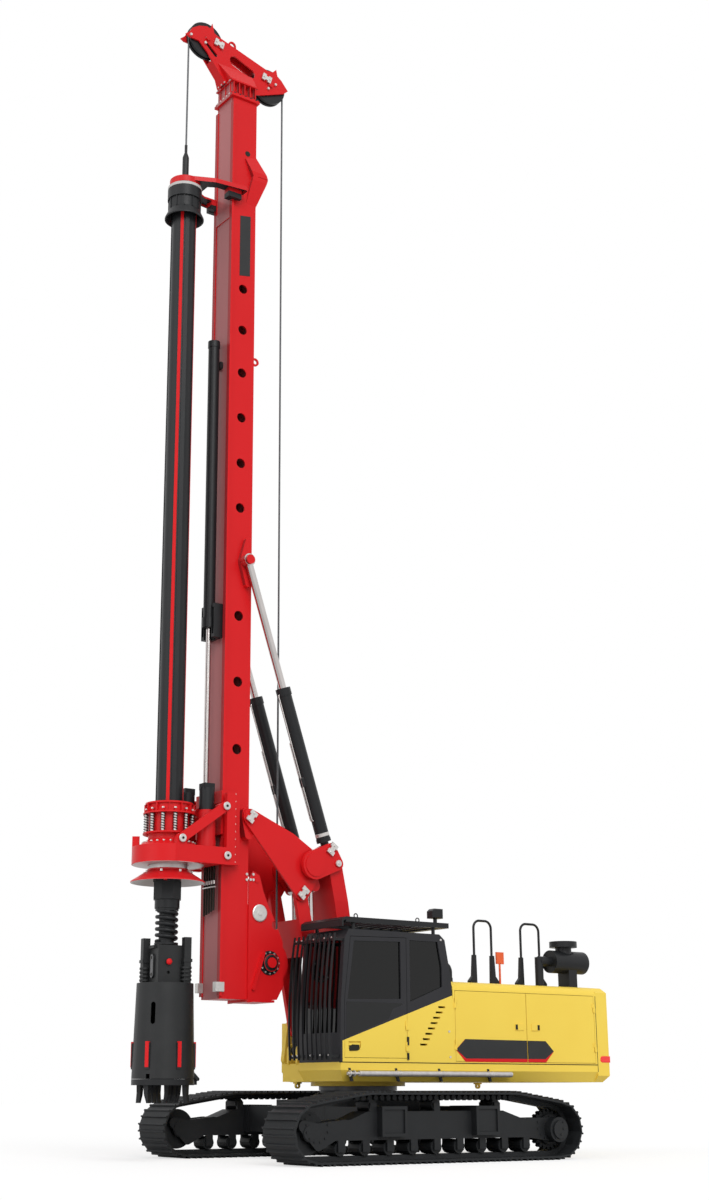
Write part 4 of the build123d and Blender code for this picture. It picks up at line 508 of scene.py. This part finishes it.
def lathed(profile, foot, towards, sides=28, hollow=False):
    """A turned piece from (radius, height) pairs, standing on foot along a direction. A hollow one
    is a closed ring with no end discs."""
    stand = Vector(towards).to_track_quat("Z", "X").to_matrix()
    corners = []
    for radius, height in profile:
        for i in range(sides):
            turn = 2 * math.pi * i / sides
            around = Vector((radius * math.cos(turn), radius * math.sin(turn), height))
            corners.append(Vector(foot) + stand @ around)
    faces = wall(sides, len(profile))
    last = (len(profile) - 1) * sides
    if hollow:
        faces += [(last + i, last + (i + 1) % sides, (i + 1) % sides, i) for i in range(sides)]
    else:
        faces += [tuple(range(sides)), tuple(range(last, last + sides))]
    return corners, faces


def broken_edges(end, middle, edge, height):
    """The profile of a short round piece with both edges broken, from its two radii."""
    return [(end, 0), (middle, edge), (middle, height - edge), (end, height)]


rail = pipes("side_tube", "upper", galvanised, radius=0.036,
             runs=[[(-1.587, *TUBE), (1.06, *TUBE)]], sides=20)
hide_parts("side_rail")
pipes("side_tube_inner", "upper", galvanised, radius=0.019, runs=[[(1.05, *TUBE), (1.25, *TUBE)]], sides=16)
clamp = broken_edges(end=0.03, middle=0.041, edge=0.002, height=0.016)
clamps, feet = [], []
for x in CLAMPS:
    for along in (-0.04, 0.025):
        clamps.append(lathed(clamp, (x + along, *TUBE), (1, 0, 0), sides=18))
    feet.append(plate([(x - 0.05, 1.03), (x - 0.01, 1.03), (x + 0.04, 1.20), (x, 1.20)], 1.425, 1.452))
    feet.append(plate(rectangle(x - 0.03, x + 0.03, 1.10, 1.16), 1.44, 1.47))
mesh_piece("side_tube_clamps", "upper", zinc, *clamps)
mesh_piece("side_tube_feet", "upper", black_enamel, *feet)

# ---- cab ----
# Welded tube frame skinned with sheet, black above a slanting line and yellow below it, with
# dark glass bonded in and a cloth seat behind it.
SLANT, SLANT_HEIGHT = 0.338, 1.985
PILLAR_X = 1.30


def between(material, output, axis, low=-99.0, high=99.0):
    """1 where the place ("Object") or the way it faces ("Normal") is between two values."""
    tree = material.node_tree
    split = add(tree, "ShaderNodeSeparateXYZ", None, {0: tree.nodes["place"].outputs[output]})
    above = add(tree, "ShaderNodeMath", {"operation": "GREATER_THAN"}, {0: split.outputs[axis], 1: low})
    below = add(tree, "ShaderNodeMath", {"operation": "LESS_THAN"}, {0: split.outputs[axis], 1: high})
    both = add(tree, "ShaderNodeMath", {"operation": "MULTIPLY"}, {0: above.outputs[0], 1: below.outputs[0]})
    return both.outputs[0]


def paint_over(material, hex_colour, *masks):
    """Another colour where every mask is 1."""
    tree = material.node_tree
    colour = tree.nodes["surface"].inputs["Base Color"]
    mask = masks[0]
    for other in masks[1:]:
        mask = add(tree, "ShaderNodeMath", {"operation": "MULTIPLY"}, {0: mask, 1: other}).outputs[0]
    over = add(tree, "ShaderNodeMix", {"data_type": "RGBA"},
               {0: mask, 6: colour.links[0].from_socket, 7: linear(hex_colour)})
    tree.links.new(over.outputs[2], colour)


# Enamel in two colours, parted by a line that falls forward from SLANT_HEIGHT over the slewing
# axis. In front of PILLAR_X the cab is black to its foot.
cab_paint = mottled("cab_enamel_black_over_yellow", "#27272a", "#303033", patch_mm=400, rough=(0.34, 0.44),
                    grain_mm=25, bump=0.04, specular=0.2)
tree = cab_paint.node_tree
spot = add(tree, "ShaderNodeSeparateXYZ", None, {0: tree.nodes["place"].outputs["Object"]})
slope = add(tree, "ShaderNodeMath", {"operation": "MULTIPLY_ADD"},
            {0: spot.outputs["X"], 1: SLANT, 2: -SLANT_HEIGHT})
slope = add(tree, "ShaderNodeMath", {"operation": "ADD"}, {0: slope.outputs[0], 1: spot.outputs["Z"]})
lower = add(tree, "ShaderNodeMath", {"operation": "LESS_THAN"}, {0: slope.outputs[0], 1: 0.0})
paint_over(cab_paint, "#efd055", lower.outputs[0], between(cab_paint, "Object", "X", high=PILLAR_X))
dress(cab_paint, "cab_shell", "cab_door")

# Tinted laminated glass: nearly black from outside, with a hard gloss.
tinted = mottled("tinted_safety_glass", "#060707", "#0a0b0b", patch_mm=700, rough=(0.03, 0.05),
                 grain_mm=60, bump=0.0, transmission=0.4, ior=1.5, specular=0.2)
dress(tinted, "cab_glass", "cab_door_glass")

# Coarse woven cloth, matt; its weave is drawn at 3 mm so that it shows.
seat_cloth = mottled("woven_seat_cloth", "#1c1c1e", "#2a2a2d", patch_mm=60, rough=(0.8, 0.95),
                     grain_mm=3, bump=0.4)
dress(seat_cloth, "cab_seat")

# four bright bolts on the cab's left side
bolts("cab_bolts", "upper", zinc, radius=0.016, height=0.008,
      places=land_beside("cab_shell", 1, [(-0.389, 2.93), (-0.507, 1.694), (-0.52, 1.354), (1.30, 2.787)]),
      sides=10)

# ---- cab door's film, handle and hinges ----
# A glossy dark film is bonded on the door under its window, and a moulded rubber handle is
# screwed on. The door hangs on two plate knuckles in black enamel.
film = mottled("black_bonded_film", "#0e0f10", "#141516", patch_mm=500, rough=(0.2, 0.28),
               grain_mm=50, bump=0.02, specular=0.35)
mesh_piece("door_film", "cab_door", film,
           plate([(1.235, 2.05), (0.30, 2.05), (0.292, 2.03), (0.458, 1.978), (0.536, 1.836), (1.235, 1.585)],
                 HOUSE_SIDE - 0.002, HOUSE_SIDE + 0.0015))
mesh_piece("door_handle", "cab_door", rubber_and_hole_shade,
           plate([(1.20, 1.452), (1.15, 1.50), (1.03, 1.495), (1.02, 1.44), (1.06, 1.42), (1.19, 1.415)],
                 HOUSE_SIDE - 0.015, HOUSE_SIDE + 0.012, bevel=0.008))
mesh_piece("cab_hinge_knuckles", "upper", black_enamel,
           *[plate(rectangle(0.205, 0.232, low, high), 1.455, 1.472, bevel=0.003)
             for low, high in ((1.31, 1.40), (1.50, 1.61))])

# ---- cab guards and roof pieces ----
# Black steel guards stand before the windscreen and over the roof. Lifting eyes bent from round
# bar and a flat aerial are fixed to the roof guard, with a camera's housing at the rear corner.
GUARD_TOP = 3.16
EYE_RADIUS, EYE_HEIGHT = 0.03, 3.235
AHEAD_OF_CAB = 2.0
dress(black_enamel, "roof_guard", "cab_front_guard")
eyes = []
for x in (0.744, -0.339):
    ring = [turned((x, EYE_HEIGHT), EYE_RADIUS, 0, angle) for angle in range(-90, 271, 30)]
    eyes.append([(along, RAIL_Y, up) for along, up in [(x, GUARD_TOP)] + ring])
pipes("roof_eyes", "upper", black_enamel, radius=0.008, runs=eyes, bend=0.005, sides=8)
mesh_piece("roof_aerial", "upper", black_enamel,
           plate([(-0.17, GUARD_TOP), (-0.02, GUARD_TOP), (-0.03, 3.2), (-0.16, 3.2)],
                 RAIL_Y - 0.05, RAIL_Y + 0.05, bevel=0.006))
mesh_piece("camera_housing", "upper", black_enamel,
           plate([(-0.60, 3.25), (-0.41, 3.25), (-0.41, 3.35), (-0.45, 3.385), (-0.60, 3.385)],
                 1.13, 1.27, bevel=0.015))
starts = [(AHEAD_OF_CAB, y, z) for y in (0.56, 0.70, 0.98, 1.24, 1.40) for z in (1.36, 2.88)]
bolts("screen_guard_bolts", "upper", zinc, radius=0.012, height=0.01,
      places=land("cab_front_guard", starts, (-1, 0, 0)))

# ---- boom, link and triangle ----
# Welded box sections in red enamel. Every pin has a bright end held by a notched keeper plate
# that sits across it, fixed with two bolts.
KEEPER_LENGTH, KEEPER_WIDTH, KEEPER_THICK = 0.17, 0.12, 0.022
KEEPER_BOLT = 0.055
LINK_PIN = (0.69, 4.014)
LINK_CAP = [(0.045, -0.004), (0.05, 0.004), (0.045, 0.02), (0.018, 0.022), (0.018, 0.03)]
dress(red_enamel, "boom", "boom_link", "triangle")
pin_of = {joint["name"]: (joint["pos_m"][0], joint["pos_m"][2])
          for joint in frame["joints"] if "pos_m" in joint}


def keeper(pin, y, turn):
    """A keeper plate on a pin: both its long edges are notched, and it is turned in degrees."""
    half, side, notch = KEEPER_LENGTH / 2, KEEPER_WIDTH / 2, KEEPER_WIDTH / 5
    lower = [(-half, -side), (-notch, -side), (-notch, -side + notch),
             (notch, -side + notch), (notch, -side), (half, -side)]
    upper = [(a, -b) for a, b in reversed(lower)]
    return plate([turned(pin, a, b, turn) for a, b in lower + upper], y, y + math.copysign(KEEPER_THICK, y))


def pin_keepers(name, body, node, pins):
    """Keeper plates, each with two bolts, on both sides of a node, for (pin, degrees) pairs."""
    shells, heads = [], []
    for pin, turn in pins:
        for side, _ in SIDES:
            for place, out in land_beside(node, side, [pin]):
                shells.append(keeper(pin, place.y - side * 0.002, turn))
                for along in (-KEEPER_BOLT, KEEPER_BOLT):
                    x, z = turned(pin, along, 0, turn)
                    heads.append((Vector((x, place.y + side * 0.018, z)), out))
    mesh_piece(name, body, zinc, *shells)
    bolts(name + "_bolts", body, zinc, radius=0.016, height=0.014, places=heads)


pin_keepers("boom_foot_keepers", "upper", "upper_frame", [(pin_of["boom_lift"], 0)])
pin_keepers("triangle_keepers", "triangle", "triangle",
            [(pin_of["mast_tilt"], -55), (pin_of["luffing_barrel_swing"], -55),
             (pin_of["triangle_level"], -50)])
mesh_piece("link_pin_caps", "triangle", zinc,
           *[lathed(LINK_CAP, place, out)
             for side, _ in SIDES for place, out in land_beside("triangle", side, [LINK_PIN])])

# ---- hydraulic cylinders ----
# Black enamelled barrels with rods of hard chrome: a clear, bright gloss with hardly any grain.
# Bright steel pipes, a black valve and a bright band are clamped to each luffing barrel.
ALONG, ACROSS = Vector((0.3183, 0, 0.948)), Vector((0.948, 0, -0.3183))
BARREL_Y = 0.37
PIPE_OUT = 0.118
chrome = mottled("hard_chrome_plate", "#b9b4b2", "#d3cdcb", patch_mm=300, rough=(0.16, 0.24),
                 grain_mm=4, bump=0.02, metallic=1.0)
dress(chrome, "boom_cylinder_rods", "luffing_rods", "crowd_rod")
dress(black_enamel, "boom_cylinder_barrels", "luffing_barrels", "crowd_barrel")


def beside_barrel(side, along, out, y=0.0):
    """A point beside a luffing barrel, from its foot pin."""
    foot_x, foot_z = pin_of["luffing_barrel_swing"]
    return Vector((foot_x, side * BARREL_Y + y, foot_z)) + along * ALONG + out * ACROSS


for side, name in SIDES:
    # each pipe stands off the barrel between two short legs
    runs = [[beside_barrel(side, 0.45, 0.10, y), beside_barrel(side, 0.47, PIPE_OUT, y),
             beside_barrel(side, end, PIPE_OUT, y), beside_barrel(side, end + 0.02, 0.10, y)]
            for y, end in ((0.02, 2.30), (-0.02, 1.60))]
    pipes(f"luffing_pipes_{name}", "luffing_barrels", zinc, radius=0.009, runs=runs, bend=0.01)
valve = broken_edges(end=0.045, middle=0.05, edge=0.01, height=0.14)
band = broken_edges(end=0.098, middle=0.1025, edge=0.004, height=0.054)
mesh_piece("luffing_valves", "luffing_barrels", black_enamel,
           *[lathed(valve, beside_barrel(side, 0.95, 0.085), ALONG, sides=8) for side, _ in SIDES])
mesh_piece("luffing_bands", "luffing_barrels", zinc,
           *[lathed(band, beside_barrel(side, 0.2, 0.0), ALONG, hollow=True) for side, _ in SIDES])

# ---- mast ----
# A box of welded plate in red enamel, with a blank black name plate on each side. Its plain front
# face has painted shade, a darker red, and between the rails that the carriage runs on a painted
# reflection of the sky in grey-mauve.
RAIL_INSIDE = 0.195
mast_paint = mottled("red_enamel_mast_painted_shade_and_reflection", "#cd161b", "#d61c20", patch_mm=900, rough=(0.28, 0.38),
                     grain_mm=30, bump=0.03, specular=0.2)
# painted shade: faces turned to the front get a darker red; between the rails, a painted reflection in
# grey-mauve
front = between(mast_paint, "Normal", "X", low=0.9)
paint_over(mast_paint, "#a02428", front)
paint_over(mast_paint, "#ac6667", front, between(mast_paint, "Object", "Y", -RAIL_INSIDE, RAIL_INSIDE))
dress(mast_paint, "mast_box", "mast_head")

NAME_PLATE = [(2.125, 12.97), (2.315, 12.934), (2.315, 13.965), (2.125, 14.0)]
for side, name in SIDES:
    for place, out in land_beside("mast_box", side, [(2.22, 13.4)]):
        mesh_piece(f"mast_plate_{name}", "mast", sign_black,
                   plate(NAME_PLATE, place.y - side * 0.002, place.y + side * 0.004, bevel=0.001))


def flat_ring(inner, outer, low, high, centre, towards, sides):
    """A ring of rectangular section about a centre, between two places along a direction."""
    profile = [(inner, low), (outer, low), (outer, high), (inner, high)]
    return lathed(profile, centre, towards, sides, hollow=True)


# lifting ring on the mast's rear, and the bolted blocks that stop the carriage at the rails' feet
mesh_piece("mast_ring", "mast", red_enamel,
           flat_ring(inner=0.035, outer=0.065, low=-0.012, high=0.012,
                     centre=(1.945, 0.12, 11.614), towards=(0, 1, 0), sides=20))
mesh_piece("rail_stops", "mast", zinc,
           *[plate(rectangle(2.42, 2.555, 2.19, 2.32), side * RAIL_INSIDE, side * 0.282, bevel=0.006)
             for side, _ in SIDES])

# ---- mast head ----
# The head is bolted on the mast's cap flange and collar. Its sheaves' pins are held by keeper
# plates and greased through bright fittings, and the locking hole at the knuckle is painted shade, a
# black disc.
FLANGE, COLLAR = 16.096, 16.338
AHEAD_OF_MAST = 3.0
rows = [(AHEAD_OF_MAST, y, z) for y in (-0.18, -0.09, 0.0, 0.09, 0.18) for z in (FLANGE, COLLAR)]
bolts("cap_bolts_front", "mast", zinc, radius=0.015, height=0.014, places=land("mast_head", rows, (-1, 0, 0)))
for side, name in SIDES:
    row = [(x, FLANGE) for x in (2.06, 2.16, 2.26, 2.36, 2.46)]
    bolts(f"cap_bolts_{name}", "mast", black_enamel, radius=0.015, height=0.014,
          places=land_beside("mast_head", side, row))
    # painted shade: a black disc stands for the knuckle's locking hole
    bolts(f"knuckle_hole_{name}", "mast", rubber_and_hole_shade, radius=0.045, height=0.004,
          places=[(Vector((2.194, side * 0.2345, 15.092)), Vector((0, side, 0)))], sides=20)
    fittings = land_beside("mast_head", side,
                           [(3.20, 16.96), (2.935, 16.91), (1.598, 16.641), (1.737, 16.52)])
    bolts(f"grease_fittings_{name}", "mast", zinc, radius=0.022, height=0.03, places=fittings, sides=8)
pin_keepers("head_keepers", "mast", "mast_head", [((2.683, 16.985), 15), ((1.771, 16.692), 15)])

# ---- hoist rope and sheaves ----
# Wire rope of dark steel, its strands in strong relief, that runs over two black sheaves. The run
# from the head to the kelly's swivel pays out as the kelly sinks; here it is one fixed straight length.
KELLY_X = pin_of["kelly_turn"][0]
ROPE_TOP, ROPE_FOOT = (KELLY_X, 0, 17.01), (KELLY_X, 0, 15.0203)
wire = mottled("steel_wire_rope", "#3a3b3d", "#66686a", patch_mm=25, rough=(0.35, 0.5),
               grain_mm=6, bump=0.5, metallic=0.9)
dress(wire, "hoist_rope")
dress(black_enamel, "front_sheave", "rear_sheave", "rope_swivel")
kelly_run = pipes("kelly_rope_run", None, wire, radius=0.014, runs=[[ROPE_TOP, ROPE_FOOT]], sides=12)
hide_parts("kelly_rope")
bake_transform(kelly_run)

# ---- winch ----
# Spooled winch in the mast's foot: a red frame and drum, black drum flanges on a ring of twelve
# bolts each, a bright cap on the frame's pin, and the bolts that join the frame to the mast.
DRUM, FRAME_PIN = pin_of["winch_turn"], (1.86, 3.27)
DRUM_BOLTS = 0.143
PLATE_ROWS = (3.72, 3.795)
WINCH_CAP = [(0.115, -0.004), (0.12, 0.002), (0.118, 0.012), (0.105, 0.018), (0.04, 0.018), (0.035, 0.024)]
DRUM_FLANGE = [(0.165, 0), (0.165, 0.014), (0.121, 0.016), (0.121, 0.058), (0.09, 0.068), (0.02, 0.07)]
dress(red_enamel, "winch_frame", "winch_drum")
mesh_piece("winch_caps", "mast", zinc,
           *[lathed(WINCH_CAP, place, out)
             for side, _ in SIDES for place, out in land_beside("winch_frame", side, [FRAME_PIN])])
joint_bolts, flanges, flange_bolts = [], [], []
for side, _ in SIDES:
    joint_bolts += land_beside("winch_frame", side, [(x, z) for x in (1.97, 2.015) for z in PLATE_ROWS])
    joint_bolts += land_beside("mast_box", side, [(2.06, z) for z in PLATE_ROWS])
    flanges.append(lathed(DRUM_FLANGE, (DRUM[0], side * 0.259, DRUM[1]), (0, side, 0), sides=32))
    for angle in range(0, 360, 30):
        x, z = turned(DRUM, DRUM_BOLTS, 0, angle)
        flange_bolts.append((Vector((x, side * 0.268, z)), Vector((0, side, 0))))
bolts("winch_plate_bolts", "mast", zinc, radius=0.02, height=0.016, places=joint_bolts)
mesh_piece("drum_flanges", "mast", black_enamel, *flanges)
bolts("drum_flange_bolts", "mast", zinc, radius=0.014, height=0.018, places=flange_bolts)

# ---- rotary drive ----
# Fabricated gearbox housing in red enamel, hung by two welded triangles on turned pins with
# bright caps; its cover is bolted on, and the machined ring under it is bare.
DRIVE_PINS = ((2.56, 4.667), (2.537, 3.989), (3.25, 4.172))
PIN_CAP = [(0.05, -0.003), (0.056, 0.002), (0.056, 0.012), (0.05, 0.017), (0.012, 0.017)]
COVER_CIRCLE, OVER_COVER = 0.36, 4.29
HOUSING_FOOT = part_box("gearbox")[0][2]
MOTOR_FOOT = 4.62
dress(red_enamel, "carriage", "gearbox", "buffer_basket")
caps, centres = [], []
for pin in DRIVE_PINS:
    for side, _ in SIDES:
        for place, out in land_beside("gearbox", side, [pin]):
            caps.append(lathed(PIN_CAP, place, out, sides=24))
            centres.append((place + out * 0.016, out))
mesh_piece("drive_pin_caps", "drive", zinc, *caps)
bolts("drive_pin_screws", "drive", rubber_and_hole_shade, radius=0.018, height=0.006, places=centres, sides=12)

UP = Vector((0, 0, 1))


def round_kelly(radius, degrees, z):
    """A point about the kelly's axis."""
    return Vector((*turned((KELLY_X, 0), radius, 0, degrees), z))


starts = [round_kelly(COVER_CIRCLE, angle, OVER_COVER) for angle in range(5, 365, 15)]
bolts("cover_bolts", "drive", zinc, radius=0.017, height=0.016, places=land("gearbox", starts, -UP))

# bare steel faces: bright, with a fine grain left by turning
machined = mottled("machined_steel", "#b8b6b4", "#d6d4d2", patch_mm=80, rough=(0.3, 0.45),
                   grain_mm=5, bump=0.08, metallic=0.8)
mesh_piece("housing_underside", "drive", machined,
           flat_ring(inner=0.285, outer=0.49, low=0, high=-0.004,
                     centre=(KELLY_X, 0, HOUSING_FOOT), towards=UP, sides=48))

# Hydraulic motors in black enamel, their castings' skin showing, on reducers that are red up to
# the flange between them.
motor_paint = mottled("red_reducer_black_motor_enamel", "#17181a", "#212224", patch_mm=300, rough=(0.36, 0.5),
                      grain_mm=16, bump=0.1, specular=0.25)
paint_over(motor_paint, "#c8181d", between(motor_paint, "Object", "Z", high=MOTOR_FOOT))
dress(motor_paint, "drive_motors")

# ---- sprung basket ----
# The basket's top ring stands on twelve studs, each a zinc-plated sleeve with a black coil spring
# wound round it between the flange and the ring, and a nut on top.
STUD_CIRCLE = 0.325
STUD_ANGLES = range(15, 375, 30)
SPRING_Z, SLEEVE_Z, NUT_Z = 4.295, 4.308, 4.60
bolts("stud_nuts", "drive", zinc, radius=0.02, height=0.02,
      places=[(round_kelly(STUD_CIRCLE, angle, NUT_Z), UP) for angle in STUD_ANGLES])

# Springs: a coil of round wire standing on each place.
spring_steps, given = new_steps("stud_springs", ("Radius", "Float"), ("Wire", "Float"), ("Length", "Float"),
                                ("Turns", "Float"), ("Steps", "Int"), ("Sides", "Int"))
coil = add(spring_steps, "GeometryNodeCurveSpiral", None,
           {"Resolution": given["Steps"], "Rotations": given["Turns"], "Start Radius": given["Radius"],
            "End Radius": given["Radius"], "Height": given["Length"]})
ring = add(spring_steps, "GeometryNodeCurvePrimitiveCircle", None,
           {"Resolution": given["Sides"], "Radius": given["Wire"]})
coil = add(spring_steps, "GeometryNodeCurveToMesh", None,
           {"Curve": coil.outputs[0], "Profile Curve": ring.outputs[0], "Fill Caps": True})
copies = add(spring_steps, "GeometryNodeInstanceOnPoints", None,
             {"Points": given["Places"], "Instance": coil.outputs[0]})
end_steps(spring_steps, copies.outputs[0], given["Finish"])
run_steps("stud_springs", "drive", spring_steps,
          [round_kelly(STUD_CIRCLE, angle, SPRING_Z) for angle in STUD_ANGLES], [], None,
          Radius=0.03, Wire=0.0065, Length=0.245, Turns=7.0, Steps=10, Sides=5, Finish=black_enamel)
bolts("stud_sleeves", "drive", zinc, radius=0.0228, height=0.245,
      places=[(round_kelly(STUD_CIRCLE, angle, SLEEVE_Z), UP) for angle in STUD_ANGLES], sides=12)

# ---- casing adapter ----
# A welded cone under the housing, bolted on through its slope. It is red enamel outside, with a
# bare machined ring and underside where the casing sits.
SLOPE_CIRCLE, OVER_SLOPE = 0.335, 3.83
adapter_paint = mottled("red_adapter_bare_beneath", "#cd161b", "#d61c20", patch_mm=500, rough=(0.3, 0.4),
                        grain_mm=20, bump=0.05, specular=0.3)
paint_over(adapter_paint, "#c4c0be", between(adapter_paint, "Normal", "Z", high=-0.2))
dress(adapter_paint, "casing_cone")
starts = [round_kelly(SLOPE_CIRCLE, angle, OVER_SLOPE) for angle in range(0, 360, 45)]
bolts("adapter_bolts", "drive", zinc, radius=0.018, height=0.03, places=land("casing_cone", starts, -UP))
mesh_piece("adapter_ring", "drive", machined,
           flat_ring(inner=0.262, outer=0.265, low=0, high=0.058,
                     centre=(KELLY_X, 0, 3.802), towards=UP, sides=48))

# ---- carriage ----
# Two red side plates with a row of small bolts down their rear edges. Five rubber hoses drop from
# the carriage along the mast's front, each from a crimped fitting, under one pale clamp bar.
HOSE_X, HOSE_TOP, HOSE_PITCH = 2.535, 3.89, 0.062
EDGE_X, FIRST_BOLT, BOLT_PITCH = 2.33, 3.93, 0.105
hose_y = [-0.10 + HOSE_PITCH * i for i in range(5)]
pipes("carriage_hoses", "drive", rubber_and_hole_shade, radius=0.015,
      runs=[[(HOSE_X, y, HOSE_TOP), (HOSE_X, y, 3.24 + 0.25 * y)] for y in hose_y])
bolts("hose_fittings", "drive", zinc, radius=0.018, height=0.05,
      places=[(Vector((HOSE_X, y, HOSE_TOP - 0.25)), UP) for y in hose_y], sides=8)
mesh_piece("hose_clamp", "drive", zinc,
           plate(rectangle(-0.13, 0.175, 3.59, 3.605), HOSE_X - 0.02, HOSE_X + 0.02, "x"))
for side, name in SIDES:
    bolts(f"carriage_bolts_{name}", "drive", zinc, radius=0.012, height=0.01,
          places=land_beside("carriage", side, [(EDGE_X, FIRST_BOLT + BOLT_PITCH * i) for i in range(10)]))

# ---- kelly bar ----
# Telescoping steel tubes in black enamel with drive keys welded down their length. Each of the
# outer tube's three keys carries a red wear stripe.
STRIPE_FOOT, STRIPE_TOP = 3.64, 13.90
STRIPE_SECTION = ((-0.026, 0.1765), (-0.022, 0.1845), (0.022, 0.1845), (0.026, 0.1765))
STRIPE_FACES = [(0, 2, 4, 6), (1, 3, 5, 7), (0, 1, 3, 2), (2, 3, 5, 4), (4, 5, 7, 6), (6, 7, 1, 0)]
dress(black_enamel, "kelly_bar")
stripes = []
for angle in (51, 150, 270):
    corners = [(*turned((KELLY_X, 0), radius, across, angle), z)
               for across, radius in STRIPE_SECTION for z in (STRIPE_FOOT, STRIPE_TOP)]
    stripes.append((corners, STRIPE_FACES))
mesh_piece("kelly_stripes", "kelly", red_enamel, *stripes)

# ---- kelly spring ----
# A heavy black spring over the kelly's stub, wound as a true coil from round bar. It sits between
# two plain seats and takes up the shock of the inner tubes.
SPRING_FOOT = 2.835
stub_spring = run_steps("kelly_spring_coil", "kelly", spring_steps, [(KELLY_X, 0, SPRING_FOOT)], [], None,
                        Radius=0.132, Wire=0.0265, Length=0.405, Turns=5.0, Steps=24, Sides=12,
                        Finish=black_enamel)
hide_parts("kelly_spring")
mesh_piece("kelly_spring_seats", "kelly", black_enamel,
           *[flat_ring(inner=0.107, outer=radius, low=0, high=0.03, centre=(KELLY_X, 0, z),
                       towards=UP, sides=32) for radius, z in ((0.161, 2.79), (0.158, 3.245))])

# ---- kelly guide ----
# The guide of the kelly's head: a red plate over a black casing with a bright machined rim, led
# along the rails by four steel rollers.
PLATE_LOW, PLATE_HIGH = 14.27, 14.6
RIM_LOW, RIM_HIGH, RIM_BACK, RIM_FRONT = 14.205, 14.252, 2.87, 3.6
guide_paint = mottled("red_over_black_guide_enamel", "#17181a", "#222325", patch_mm=300, rough=(0.36, 0.5),
                      grain_mm=16, bump=0.1, specular=0.25)
paint_over(guide_paint, "#cd181d", between(guide_paint, "Normal", "Z", low=-0.5),
           between(guide_paint, "Object", "Z", PLATE_LOW, PLATE_HIGH))
paint_over(guide_paint, "#bdbab8", between(guide_paint, "Object", "Z", RIM_LOW, RIM_HIGH),
           between(guide_paint, "Object", "X", RIM_BACK, RIM_FRONT))
dress(guide_paint, "kelly_guide")
roller = broken_edges(end=0.03, middle=0.034, edge=0.004, height=0.104)
mesh_piece("guide_rollers", "kelly_head", zinc,
           *[lathed(roller, (x, side * 0.30, 14.19), UP, sides=18)
             for side, _ in SIDES for x in (2.40, 2.53)])

# ---- drilling bucket ----
# A barrel rolled from plate and welded, in black enamel that lets the plate's skin show, with six
# red guide pads welded round it and a gate at its foot.
PAD_FOOT, PAD_TOP, PAD_HALF = 1.205, 1.53, 0.026
PAD_FACES = [(0, 1, 2, 3), (4, 5, 6, 7), (0, 1, 5, 4), (1, 2, 6, 5), (2, 3, 7, 6), (3, 0, 4, 7)]
tool_paint = mottled("black_enamel_on_rolled_plate", "#191a1b", "#262728", patch_mm=220, rough=(0.4, 0.52),
                     grain_mm=12, bump=0.12, specular=0.3)
dress(tool_paint, "drill_tool")
dress(black_enamel, "tool_gate")
pads = []
for angle in (30, -30, 90, 150, 210, 270):
    corners = [(*turned((KELLY_X, 0), radius, across, angle), z)
               for radius in (0.40, 0.43) for across, z in rectangle(-PAD_HALF, PAD_HALF, PAD_FOOT, PAD_TOP)]
    pads.append((corners, PAD_FACES))
mesh_piece("bucket_pads", "kelly", red_enamel, *pads)

# ---- lock of the kelly box ----
# The bucket's square box is pinned to the kelly's stub: a worn grey forged link plate with two
# holes keeps the pin on one face, and the pin's red dome shows on the next.
BOX_FACE = 0.1985
LINK_RADIUS, LINK_EYES = 0.044, (2.40, 2.62)
box_turn = Matrix.Rotation(math.radians(-8), 4, "Z")
# grey steel, its forging skin rubbed bright in patches
link_steel = mottled("worn_forged_steel", "#5e5e60", "#8a8a8b", patch_mm=50, rough=(0.4, 0.6),
                     grain_mm=6, bump=0.2, metallic=0.5)


def on_box(x, y, z):
    """A place given about the kelly's axis, square to the kelly box."""
    return box_turn @ Vector((x, y, 0)) + Vector((KELLY_X, 0, z))


outline = [turned((0, LINK_EYES[1]), LINK_RADIUS, 0, angle) for angle in range(0, 181, 20)]
outline += [turned((0, LINK_EYES[0]), LINK_RADIUS, 0, angle) for angle in range(180, 361, 20)]
corners, faces = plate(outline, BOX_FACE, BOX_FACE + 0.005, "x")
mesh_piece("lock_link", "kelly", link_steel, ([on_box(*corner) for corner in corners], faces))
# painted shade: black discs stand for the two holes in the link plate
mesh_piece("lock_hole_shade", "kelly", rubber_and_hole_shade,
           *[lathed([(0.024, 0), (0.024, 0.0055)], on_box(BOX_FACE + 0.0005, 0, z),
                    box_turn @ Vector((1, 0, 0)), sides=16) for z in LINK_EYES])
mesh_piece("lock_dome", "kelly", red_enamel,
           lathed([(0.04, 0), (0.04, 0.014), (0.026, 0.026), (0.005, 0.03)],
                  on_box(0.03, BOX_FACE, 2.56), box_turn @ Vector((0, 1, 0)), sides=20))
